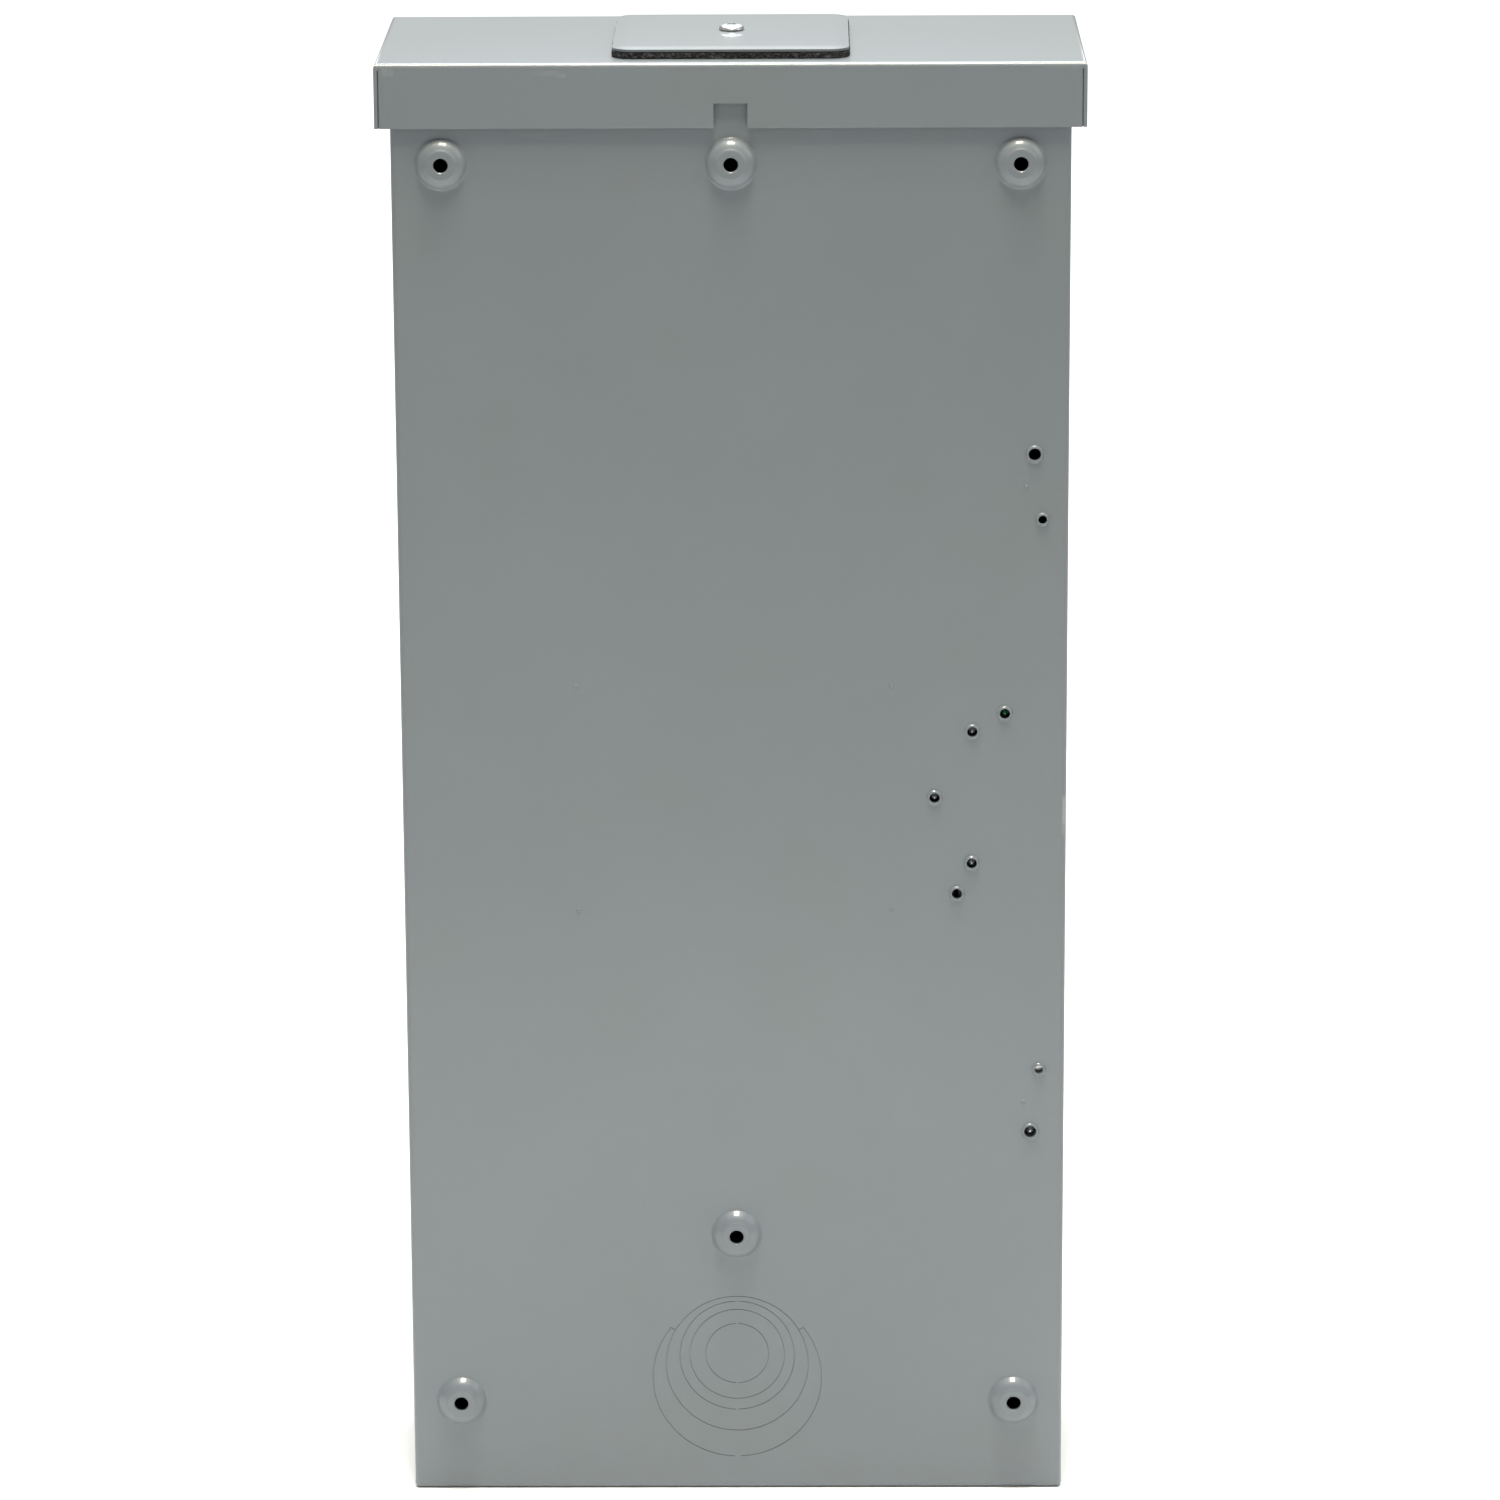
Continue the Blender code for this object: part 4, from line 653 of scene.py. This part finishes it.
def make_enclosure():
    mesh = bmesh.new()
    add_block(mesh, (-HALF_WIDTH, HALF_WIDTH), (0, BODY_DEPTH), (0, BOX_HIGH.z))
    mesh.normal_update()
    lid = [face for face in mesh.faces if face.normal.z > 0.5]
    bmesh.ops.delete(mesh, geom=lid, context="FACES_ONLY")
    folds = [edge for edge in mesh.edges if not edge.is_boundary]
    bmesh.ops.bevel(mesh, geom=folds, offset=BOX_BEND, segments=5, profile=0.5,
                    affect="EDGES", material=-1)
    mesh.normal_update()
    mouth = HALF_WIDTH - FRONT_FLANGE
    cuts = [(at(-mouth, 0, 0), ACROSS), (at(mouth, 0, 0), ACROSS), (at(0, 0, FRONT_FLANGE), UP)]
    for point, normal in cuts:
        front = [face for face in mesh.faces if face.normal.dot(FORWARD) > 0.99]
        region = {item for face in front for item in (face, *face.edges, *face.verts)}
        bmesh.ops.bisect_plane(mesh, geom=list(region), plane_co=point, plane_no=normal)
    mesh.normal_update()
    opening = [face for face in mesh.faces if face.normal.dot(FORWARD) > 0.99
               and abs(face.calc_center_median().x) < mouth
               and face.calc_center_median().z > FRONT_FLANGE]
    bmesh.ops.delete(mesh, geom=opening, context="FACES")

    # the patch paints a paler spot into the enamel on the box's left back edge
    finish = grey_enamel("box_enamel", at(-HALF_WIDTH, BODY_DEPTH, 0),
                         at(HALF_WIDTH, 0, BOX_HIGH.z), wear=0.25, width=0.0008,
                         patches=[(at(-HALF_WIDTH, 0, PALE_SPOT_HEIGHT), PALE_SPOT_HALF, 0.8)])
    box = new_piece("panel_enclosure", mesh, finish, "box", ("enclosure_box",))
    thicken(box, BOX_SHEET)

    def score_lines(mesh):
        knockout(mesh, at(0, 0, RING_MIDDLE), BACKWARD, BACK_RINGS)
        radius, height = OUTER_RING
        for start, end in OUTER_RING_ARCS:
            add_arc_groove(mesh, at(0, 0, height), BACKWARD, radius, start, end)
        for x, radii in BOTTOM_KNOCKOUTS:
            knockout(mesh, at(x, BODY_DEPTH / 2, 0), -UP, [(radius, 0.0) for radius in radii])

    def ears(mesh):
        across, height = RING_EAR
        size = Matrix.Diagonal((SCORE, SCORE_DEEP * 1.9, RING_EAR_LENGTH, 1.0))
        for side in SIDES:
            turn = Matrix.Rotation(math.radians(side * RING_EAR_TURN), 4, "Y")
            place = Matrix.Translation(at(side * across, 0, height)) @ turn @ size
            bmesh.ops.create_cube(mesh, size=1.0, matrix=place)

    def holes(mesh):
        for number in range(1, 5):
            centre = middle(f"dead_front_screw_{number}")
            add_rod(mesh, at(centre.x, BODY_DEPTH - BOX_SHEET - OVERRUN, centre.z),
                    at(centre.x, BODY_DEPTH + OVERRUN, centre.z), COVER_SCREW_HOLE)
        for side in SIDES:
            add_rod(mesh, at(side * DRAIN_HOLE_X, DRAIN_HOLE_DEPTH, -OVERRUN),
                    at(side * DRAIN_HOLE_X, DRAIN_HOLE_DEPTH, BOX_SHEET + OVERRUN), DRAIN_HOLE)
        for centre, form, steps in drawn_forms():
            add_rod(mesh, centre - BACKWARD * (BOX_SHEET + OVERRUN), centre + BACKWARD * OVERRUN,
                    form[0][0], steps)

    carve(box, score_lines)
    carve(box, ears)
    carve(box, holes)
    mesh = bmesh.new()
    mesh.from_mesh(box.data)
    for centre, form, steps in drawn_forms():
        fit_form(mesh, centre, form, steps)
    for x, z in pips():
        dome = [(0.0, -0.0001), (PIP_RADIUS, -0.0001), (PIP_RADIUS * 0.75, PIP_HEIGHT * 0.7),
                (PIP_RADIUS * 0.35, PIP_HEIGHT), (0.0, PIP_HEIGHT)]
        add_turned(mesh, dome, at(x, 0, z), BACKWARD, PIP_STEPS)
    bmesh.ops.remove_doubles(mesh, verts=mesh.verts, dist=WELD)
    bmesh.ops.recalc_face_normals(mesh, faces=mesh.faces)
    mesh.to_mesh(box.data)
    mesh.free()
    shade(box)


def make_hood():
    depth = (BACK_Y - HOOD_HIGH.y, BACK_Y - HOOD_LOW.y)
    half = HOOD_HIGH.x
    mesh = bmesh.new()
    add_block(mesh, (-half, half), depth, (HOOD_LOW.z, HOOD_HIGH.z))
    mesh.normal_update()
    underside = [face for face in mesh.faces if face.normal.z < -0.5]
    bmesh.ops.delete(mesh, geom=underside, context="FACES_ONLY")
    folds = [edge for edge in mesh.edges if all(corner.co.z > HOOD_HIGH.z - WELD
                                                for corner in edge.verts)]
    bmesh.ops.bevel(mesh, geom=folds, offset=HOOD_BEND, segments=6, profile=0.5,
                    affect="EDGES", material=-1)
    finish = grey_enamel("hood_enamel", HOOD_LOW, HOOD_HIGH, wear=0.20, width=0.0007,
                         patches=[(at(x, depth[0], z), (reach, 0.002, rise), 0.3)
                                  for x, z, reach, rise in HOOD_SCUFFS])
    hood = new_piece("rain_hood", mesh, finish, "box", ("hood",))
    thicken(hood, HOOD_SHEET)

    def openings(mesh):
        centre = at(0, HUB_DEPTH, HOOD_HIGH.z)
        add_rod(mesh, centre - UP * HUB_CUT, centre + UP * OVERRUN, HUB_RADIUS, 72)
        add_block(mesh, (-NOTCH_WIDTH / 2, NOTCH_WIDTH / 2),
                  (depth[0] - OVERRUN, depth[0] + HOOD_SHEET + NOTCH_PAST_SHEET),
                  (HOOD_LOW.z - OVERRUN, HOOD_LOW.z + NOTCH_HEIGHT))

    def corner_slits(mesh):
        inner = half - HOOD_SHEET - HOOD_SLIT
        for side in SIDES:
            span = sorted((side * inner, side * (inner + HOOD_SLIT)))
            for low, high in ((depth[0] - OVERRUN, depth[0] + HOOD_SHEET * 0.8),
                              (depth[1] - HOOD_SHEET * 0.8, depth[1] + OVERRUN)):
                add_block(mesh, span, (low, high),
                          (HOOD_LOW.z - OVERRUN, HOOD_HIGH.z - HOOD_BEND * 1.4))

    carve(hood, openings)
    carve(hood, corner_slits)
    shade(hood)


# ------------------------------------------------------------------- hub closing set


def rounded_outline(mesh, half_x, half_y, z, corner, segments):
    """A flat face with rounded corners, centred over the hub opening."""
    place = Matrix.Translation(at(0, HUB_DEPTH, z)) @ Matrix.Diagonal(
        (half_x * 2, half_y * 2, 1.0, 1.0))
    bmesh.ops.create_grid(mesh, x_segments=1, y_segments=1, size=0.5, matrix=place)
    bmesh.ops.bevel(mesh, geom=list(mesh.verts), offset=corner, segments=segments,
                    profile=0.5, affect="VERTICES", material=-1)
    return list(mesh.faces)


def make_hub_plate():
    half_x = (PLATE_HIGH.x - PLATE_LOW.x) / 2
    half_y = (PLATE_HIGH.y - PLATE_LOW.y) / 2
    rise = PLATE_HIGH.z - PLATE_LOW.z - HUB_SHEET
    mesh = bmesh.new()
    face = rounded_outline(mesh, half_x, half_y, PLATE_LOW.z + HUB_SHEET, HUB_CORNER, 10)
    reached = 0.0
    lifted = 0.0
    for step in range(1, HUB_SLOPE_STEPS + 1):
        share = step / HUB_SLOPE_STEPS
        run = HUB_SLOPE * share
        height = rise * math.sin(share * math.pi / 2) ** HUB_SLOPE_CROWN
        bmesh.ops.inset_region(mesh, faces=face, thickness=run - reached,
                               use_boundary=True, use_even_offset=True)
        lift = Vector((0, 0, height - lifted))
        bmesh.ops.translate(mesh, verts=list(face[0].verts), vec=lift)
        reached = run
        lifted = height
    bmesh.ops.recalc_face_normals(mesh, faces=mesh.faces)
    if face[0].normal.z < 0:
        bmesh.ops.reverse_faces(mesh, faces=mesh.faces)
    finish = grey_enamel("hub_plate_enamel", PLATE_LOW, PLATE_HIGH, wear=0.15, width=0.0006)
    plate = new_piece("hub_plate", mesh, finish, "box", ("hub_closing_plate",))
    thicken(plate, HUB_SHEET)

    def screw_hole(mesh):
        centre = at(0, HUB_DEPTH, PLATE_HIGH.z)
        add_rod(mesh, centre - UP * HUB_CUT, centre + UP * OVERRUN, HUB_SCREW_HOLE)

    carve(plate, screw_hole)
    shade(plate, 40.0)


FOAM_INSET = 0.0002
FOAM_CUTS = 110               # along each long wall
FOAM_LAYERS = 3
FOAM_ROUGHNESS = ((900.0, 0.00022), (350.0, 0.00020))   # noise scale and height


def make_gasket():
    low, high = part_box("hub_gasket")
    half_x = (high.x - low.x) / 2 - FOAM_INSET
    half_y = (high.y - low.y) / 2 - FOAM_INSET
    rise = high.z - low.z
    mesh = bmesh.new()
    face = rounded_outline(mesh, half_x, half_y, low.z, HUB_CORNER, 8)
    made = bmesh.ops.extrude_face_region(mesh, geom=face)["geom"]
    top = [item for item in made if isinstance(item, bmesh.types.BMVert)]
    bmesh.ops.translate(mesh, verts=top, vec=(0, 0, rise))
    bmesh.ops.recalc_face_normals(mesh, faces=mesh.faces)
    gasket = new_piece("hub_foam", mesh, FOAM, "box", ("hub_gasket",))

    def opening(mesh):
        centre = at(0, HUB_DEPTH, low.z)
        add_rod(mesh, centre - UP * OVERRUN, centre + UP * 0.004, HUB_RADIUS + 0.002, 64)

    carve(gasket, opening)
    mesh = bmesh.new()
    mesh.from_mesh(gasket.data)
    walls = [face for face in mesh.faces if abs(face.normal.z) < 0.5]
    long_edges = {edge for face in walls for edge in face.edges
                  if abs(edge.verts[0].co.z - edge.verts[1].co.z) < WELD
                  and edge.calc_length() > 0.004}
    bmesh.ops.subdivide_edges(mesh, edges=list(long_edges), cuts=FOAM_CUTS, use_grid_fill=True)
    uprights = [edge for edge in mesh.edges
                if abs(edge.verts[0].co.z - edge.verts[1].co.z) > rise * 0.9]
    bmesh.ops.subdivide_edges(mesh, edges=uprights, cuts=FOAM_LAYERS, use_grid_fill=True)
    centre = at(0, HUB_DEPTH, 0)
    for corner in mesh.verts:
        flat = Vector((corner.co.x, corner.co.y - centre.y, 0))
        if max(abs(flat.x) / half_x, abs(flat.y) / half_y) < 0.93:
            continue
        rough = sum(noise.noise(corner.co * scale) * height for scale, height in FOAM_ROUGHNESS)
        corner.co -= flat.normalized() * (FOAM_INSET + rough)
    mesh.to_mesh(gasket.data)
    mesh.free()
    shade(gasket, 50.0)


def make_clamp_bar():
    rounded_copy("hub_clamp_bar", "clamp_bar", GALVANISED, 0.0004)


# ------------------------------------------------------------------------- screws


def cross_recess(mesh, top, direction, reach, deep):
    """A cross-shaped driver recess in a screw's head."""
    side = direction.orthogonal().normalized()
    other = direction.cross(side)
    arm = reach * 0.20
    quarter = ((reach, -arm), (reach, arm), (arm, arm))
    corners = []
    for turn in range(4):
        along = side if turn % 2 == 0 else other
        beside = other if turn % 2 == 0 else -side
        sign = 1 if turn < 2 else -1
        for out, aside in quarter:
            place = top + (along * out + beside * aside) * sign - direction * deep
            corners.append(mesh.verts.new(place))
    made = bmesh.ops.extrude_face_region(mesh, geom=[mesh.faces.new(corners)])["geom"]
    lifted = [item for item in made if isinstance(item, bmesh.types.BMVert)]
    bmesh.ops.translate(mesh, verts=lifted, vec=direction * deep * 2)


def slot_recess(mesh, top, direction, reach, deep):
    side = direction.orthogonal().normalized()
    turn = Matrix((side, direction.cross(side), direction)).transposed().to_4x4()
    place = Matrix.Translation(top) @ turn @ Matrix.Diagonal(
        (reach * 2.6, reach * 0.30, deep * 2, 1.0))
    bmesh.ops.create_cube(mesh, size=1.0, matrix=place)


def thread(radius, start, end, pitch=0.0009, cut=0.00022):
    """Profile points of a threaded shank."""
    points = [(radius, start)]
    turns = int((end - start - radius) / pitch)
    for number in range(turns):
        place = start + 0.0002 + number * pitch
        points += [(radius, place + pitch * 0.2), (radius - cut, place + pitch * 0.5),
                   (radius, place + pitch * 0.8)]
    return points + [(radius, end - radius), (radius * 0.15, end), (0.0, end)]


def make_headed_screw(node, name, direction, shank, head_height, finish=ZINC,
                      recess=cross_recess):
    """A pan-head screw in the place of a CAD screw that points along direction."""
    low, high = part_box(node)
    centre = (low + high) / 2
    length = abs((high - low).dot(direction))
    spread = [abs(size) for size in (high - low)]
    spread.remove(max(spread))
    head = max(spread) / 2
    top = centre + direction * length / 2
    profile = [(0.0, 0.0), (head * 0.45, head_height * 0.03), (head * 0.72, head_height * 0.14),
               (head * 0.90, head_height * 0.38), (head * 0.98, head_height * 0.66),
               (head, head_height * 0.84), (head * 0.97, head_height)]
    profile += thread(shank, head_height, length)
    piece = turned_piece(node, name, profile, top, direction, finish)
    carve(piece, lambda tool: recess(tool, top, direction, head * 0.5, head_height * 0.62))
    shade(piece, 40.0)


HUB_SHANK = 0.0021
HUB_HEAD = 0.0017
COVER_SHANK = 0.0018
GROUND_SHANK = 0.0017
INNER_SHANK = 0.00135
SCREW_HEAD = 0.0020


def make_screws():
    make_headed_screw("hub_plate_screw", "hub_screw", UP, HUB_SHANK, HUB_HEAD)
    for number in range(1, 5):
        make_headed_screw(f"dead_front_screw_{number}", f"cover_screw_{number}", FORWARD,
                          COVER_SHANK, SCREW_HEAD, recess=slot_recess)
    make_headed_screw("interior_pan_screw", "pan_screw", FORWARD, INNER_SHANK, SCREW_HEAD)
    for number in (1, 2):
        make_headed_screw(f"neutral_base_screw_{number}", f"neutral_screw_{number}", FORWARD,
                          INNER_SHANK, SCREW_HEAD)
    make_headed_screw("bonding_screw", "bond_screw", FORWARD, INNER_SHANK, SCREW_HEAD, GREEN,
                      slot_recess)
    make_headed_screw("ground_bar_screw", "ground_screw", FORWARD, GROUND_SHANK, SCREW_HEAD)


SET_SCREW_SLOT = 0.0014       # depth of the slot; the thread starts under it


def make_set_screw(node, name):
    """A flush clamping screw: chamfered, slotted, threaded below."""
    low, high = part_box(node)
    centre = (low + high) / 2
    radius = (high.x - low.x) / 2
    length = high.y - low.y
    top = centre + FORWARD * length / 2
    profile = [(0.0, 0.0), (radius * 0.82, 0.0), (radius, 0.0005)]
    profile += thread(radius, SET_SCREW_SLOT, length, 0.0010, 0.00030)
    piece = turned_piece(node, name, profile, top, FORWARD, ZINC)
    carve(piece, lambda tool: slot_recess(tool, top, FORWARD, radius * 0.8, SET_SCREW_SLOT))
    shade(piece, 40.0)


# ------------------------------------------------------------- dead front and door


COVER_DEPTH = 0.0855          # outer face of the dead front
BREAKER_COLUMN = 0.0330
SPARE_ROWS = (2, 3)
TWIST_OUT_X = 0.0175          # half sizes of a twist-out and of its ties
TWIST_OUT_Z = 0.0118
TWIST_OUT_TIE = 0.0012


def make_dead_front():
    low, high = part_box("dead_front")
    finish = grey_enamel("dead_front_enamel", low, high, wear=0.25, width=0.0008)
    cover = copy_of("dead_front", "inner_cover", finish)
    depth = (COVER_DEPTH - SCORE_DEEP, COVER_DEPTH + OVERRUN)

    def twist_out(mesh, x, z):
        for end in SIDES:
            for first, last in ((-TWIST_OUT_X, -TWIST_OUT_TIE), (TWIST_OUT_TIE, TWIST_OUT_X)):
                add_block(mesh, (x + first, x + last), depth,
                          (z + end * TWIST_OUT_Z - SCORE / 2, z + end * TWIST_OUT_Z + SCORE / 2))
            add_block(mesh, (x + end * TWIST_OUT_X - SCORE / 2, x + end * TWIST_OUT_X + SCORE / 2),
                      depth, (z - TWIST_OUT_Z + SCORE, z + TWIST_OUT_Z - SCORE))

    def twist_outs(mesh):
        for side in SIDES:
            for row in SPARE_ROWS:
                twist_out(mesh, side * BREAKER_COLUMN, ROWS_MIDDLE + BREAKER_PITCH * (1.5 - row))

    carve(cover, twist_outs)
    round_edges(cover, 0.00025, 2)
    shade(cover)


def make_door():
    low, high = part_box("door")
    finish = grey_enamel("door_enamel", low, high, wear=0.35, width=0.0009)
    door = copy_of("door", "lift_door", finish, "door")
    round_edges(door, 0.0003, 3, 50.0)
    shade(door, 40.0)


PIN_RADIUS = 0.00125


def make_small_steel():
    rounded_copy("padlock_hasp", "hasp", ZINC, 0.0004)
    for label, side in zip(("left", "right"), SIDES):
        low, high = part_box(f"door_hinge_pin_{label}")
        direction = ACROSS * side
        head = (high.z - low.z) / 2
        length = high.x - low.x
        top = (low + high) / 2 + direction * length / 2
        profile = [(0.0, 0.0), (head * 0.6, 0.00008), (head * 0.92, 0.0003), (head, 0.0006),
                   (head * 0.96, 0.0008), (PIN_RADIUS, 0.0008), (PIN_RADIUS, length - 0.0004),
                   (0.0009, length), (0.0, length)]
        pin = turned_piece(f"door_hinge_pin_{label}", f"hinge_pin_{label}", profile, top,
                           direction, ZINC)
        shade(pin)


# ------------------------------------------------------------------------ interior


def make_pan_and_bus():
    rounded_copy("interior_pan", "mounting_pan", GALVANISED, 0.0003, 2)
    rounded_copy("bus_base", "bus_support", BLACK, 0.0006)
    for label in ("left", "right"):
        rounded_copy(f"bus_bar_{label}", f"phase_bar_{label}", TINNED,
                     0.00035, 2)


WIRE_PITCH = 0.0085
WIRE_HOLE = 0.0021
WIRE_HOLE_BACK = 0.0008       # how far the wire holes lie behind the bar's middle
WIRE_SCREW_DEEP = 0.0030
WIRE_SCREW_SLOT = 0.0010


def make_wire_bar(node, name, screws, width, lowest):
    """A neutral or ground bar: wire holes through its side and a screw over each."""
    low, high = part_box(node)
    bar = copy_of(node, name, ALUMINIUM)
    x = (low.x + high.x) / 2
    hole_y = (low.y + high.y) / 2 + WIRE_HOLE_BACK
    front = low.y
    places = [lowest + number * WIRE_PITCH for number in range(screws)]

    def bores(mesh):
        for z in places:
            add_rod(mesh, Vector((low.x - OVERRUN, hole_y, z)),
                    Vector((high.x + OVERRUN, hole_y, z)), WIRE_HOLE, 24)
            add_rod(mesh, Vector((x, front - OVERRUN, z)),
                    Vector((x, front + WIRE_SCREW_DEEP, z)), width / 2 + 0.0001, 24)

    carve(bar, bores)
    dissolve_flats(bar)
    round_edges(bar, 0.00025, 2, 50.0)
    shade(bar)
    tops = [Vector((x, front + 0.0001, z)) for z in places]
    profile = [(0.0, 0.0), (width * 0.38, 0.0), (width * 0.49, 0.0004), (width * 0.49, 0.0050),
               (0.0, 0.0055)]
    mesh = bmesh.new()
    for top in tops:
        add_turned(mesh, profile, top, BACKWARD, 24)
    bmesh.ops.recalc_face_normals(mesh, faces=mesh.faces)
    row = new_piece(f"{name}_screws", mesh, ZINC)

    def slots(mesh):
        for top in tops:
            slot_recess(mesh, top, FORWARD, width * 0.36, WIRE_SCREW_SLOT)

    carve(row, slots)
    shade(row)


def make_neutral_and_ground():
    rounded_copy("neutral_base", "neutral_support", BLACK, 0.0005)
    make_wire_bar("neutral_bar", "neutral_strip", screws=8, width=0.0052, lowest=0.1850)
    make_wire_bar("ground_bar", "ground_strip", screws=4, width=0.0050, lowest=0.1412)
    for node in ("main_lug_left", "main_lug_right", "neutral_lug"):
        rounded_copy(node, f"{node}_body", ALUMINIUM, 0.0005, 3, 50.0)
        make_set_screw(f"{node}_screw", f"{node}_clamp_screw")


# ------------------------------------------------------------------------ breakers


RIBS = 4
RIB_RADIUS = 0.00042
MAIN_SWING = -23.0            # degrees from straight out to its place at rest
BRANCH_SWING = 20.0
MAIN_TOGGLE = {"width": 0.0240, "hub": 0.0080, "root": 0.0095, "tip": 0.0060, "reach": 0.0210}
BRANCH_TOGGLE = {"width": 0.0120, "hub": 0.0060, "root": 0.0070, "tip": 0.0048, "reach": 0.0185}


def make_handle(node, name, body, pivot, axis, swing, width, hub, root, tip, reach):
    """A toggle: a round hub and a tapered lever with grip ribs on both faces."""
    across = axis.cross(FORWARD)
    half = axis * (width / 2)
    mesh = bmesh.new()
    add_rod(mesh, -half, half, hub, 48)
    turn = Matrix.Translation(pivot) @ Matrix.Rotation(math.radians(swing), 4, axis)
    handle = new_piece(name, mesh, HANDLE_BLACK, body, (node,))

    def lever(mesh):
        corners = bmesh.ops.create_cube(mesh, size=1.0)["verts"]
        for corner in corners:
            thick = root if corner.co.y < 0 else tip
            corner.co = (axis * corner.co.x * width + FORWARD * (corner.co.y + 0.5) * reach
                         + across * corner.co.z * thick)

    def ribs(mesh):
        for number in range(RIBS):
            out = reach * (0.60 + number * 0.095)
            thick = root + (tip - root) * out / reach
            for side in SIDES:
                centre = FORWARD * out + across * side * thick / 2
                add_rod(mesh, centre - half * 1.2, centre + half * 1.2, RIB_RADIUS, 12)

    carve(handle, lever, "UNION")
    carve(handle, ribs)
    dissolve_flats(handle)
    round_edges(handle, 0.0004, 3, 40.0)
    handle.data.transform(turn)
    shade(handle)


def make_breakers():
    joints = {joint["child"]: joint for joint in frame["joints"]}
    for name in ("main_breaker_base", "main_breaker_cover"):
        rounded_copy(name, name.replace("breaker", "case"), BLACK, 0.0006)
    pivot = Vector(joints["main_handle"]["pos_m"])
    make_handle("main_breaker_handle", "main_toggle", "main_handle", pivot, ACROSS, MAIN_SWING,
                **MAIN_TOGGLE)
    for number in range(1, 5):
        side = -1 if number % 2 else 1
        breaker = f"branch_breaker_{number}"
        rounded_copy(breaker, f"branch_case_{number}", BLACK, 0.0005)
        pivot = Vector(joints[f"branch_handle_{number}"]["pos_m"])
        make_handle(f"{breaker}_handle", f"branch_toggle_{number}", f"branch_handle_{number}",
                    pivot, UP, -side * BRANCH_SWING, **BRANCH_TOGGLE)
        make_set_screw(f"{breaker}_screw", f"branch_terminal_{number}")


# ------------------------------------------------------------------ studio and camera


SKY = (0.98, 0.99, 0.97, 1.0)
SKY_STRENGTH = 0.39
WHITE = (1.0, 1.0, 1.0)
WARM = (1.0, 0.945, 0.76)
COOL = (0.95, 0.98, 1.0)
BLUISH = (0.90, 0.95, 1.0)
FLOOR_HALF = 6.0


def add_light(name, kind, place, target, power, colour, **shape):
    data = bpy.data.lights.new(name, kind)
    data.energy = power
    data.color = colour
    for key, value in shape.items():
        setattr(data, key, value)
    lamp = bpy.data.objects.new(name, data)
    lamp.location = place
    lamp.rotation_euler = (Vector(target) - Vector(place)).to_track_quat("-Z", "Y").to_euler()
    bpy.context.scene.collection.objects.link(lamp)


def make_studio():
    mesh = bmesh.new()
    bmesh.ops.create_grid(mesh, x_segments=1, y_segments=1, size=FLOOR_HALF)
    data = bpy.data.meshes.new("studio_floor")
    mesh.to_mesh(data)
    mesh.free()
    data.materials.append(pale_floor())
    floor = bpy.data.objects.new("studio_floor", data)
    bpy.context.scene.collection.objects.link(floor)
    world = bpy.data.worlds.new("studio")
    world.use_nodes = True
    backdrop = world.node_tree.nodes["Background"]
    backdrop.inputs["Color"].default_value = SKY
    backdrop.inputs["Strength"].default_value = SKY_STRENGTH
    bpy.context.scene.world = world
    add_light("overhead", "AREA", (0.0, 0.38, 1.9), (0, 0.1, 0.3), 32, WARM, size=0.55)
    add_light("far_floor", "AREA", (0.0, -1.8, 2.4), (0, -1.8, 0), 120, COOL, size=2.4)
    add_light("side", "AREA", (-1.8, 0.6, 1.4), (0, 0, 0.3), 5, WHITE, size=1.0)
    add_light("floor_pool", "SPOT", (0.0, 0.36, 3.0), (0, 0.36, 0), 240, BLUISH,
              spot_size=math.radians(14.5), spot_blend=0.18, shadow_soft_size=0.1)
    bpy.context.scene.view_settings.view_transform = "Standard"


CAMERA_PLACE = (-0.02636, BACK_Y + 2.14922, 0.84587)
CAMERA_PITCH = math.radians(15.074)   # below level
CAMERA_TURN = math.radians(0.558)     # away from straight at the back panel
CAMERA_ROLL = math.radians(-0.273)
CAMERA_LENS = 157.65


def make_camera():
    data = bpy.data.cameras.new("camera")
    data.lens = CAMERA_LENS
    data.sensor_width = 36.0
    data.clip_end = 50.0
    camera = bpy.data.objects.new("camera", data)
    turn = Matrix.Rotation(math.pi + CAMERA_TURN, 4, "Z")
    tilt = Matrix.Rotation(math.pi / 2 - CAMERA_PITCH, 4, "X")
    roll = Matrix.Rotation(CAMERA_ROLL, 4, "Z")
    camera.matrix_world = Matrix.Translation(CAMERA_PLACE) @ turn @ tilt @ roll
    bpy.context.scene.collection.objects.link(camera)
    bpy.context.scene.camera = camera


make_camera()
make_studio()
make_enclosure()
make_hood()
make_hub_plate()
make_gasket()
make_clamp_bar()
make_screws()
make_dead_front()
make_door()
make_small_steel()
make_pan_and_bus()
make_neutral_and_ground()
make_breakers()
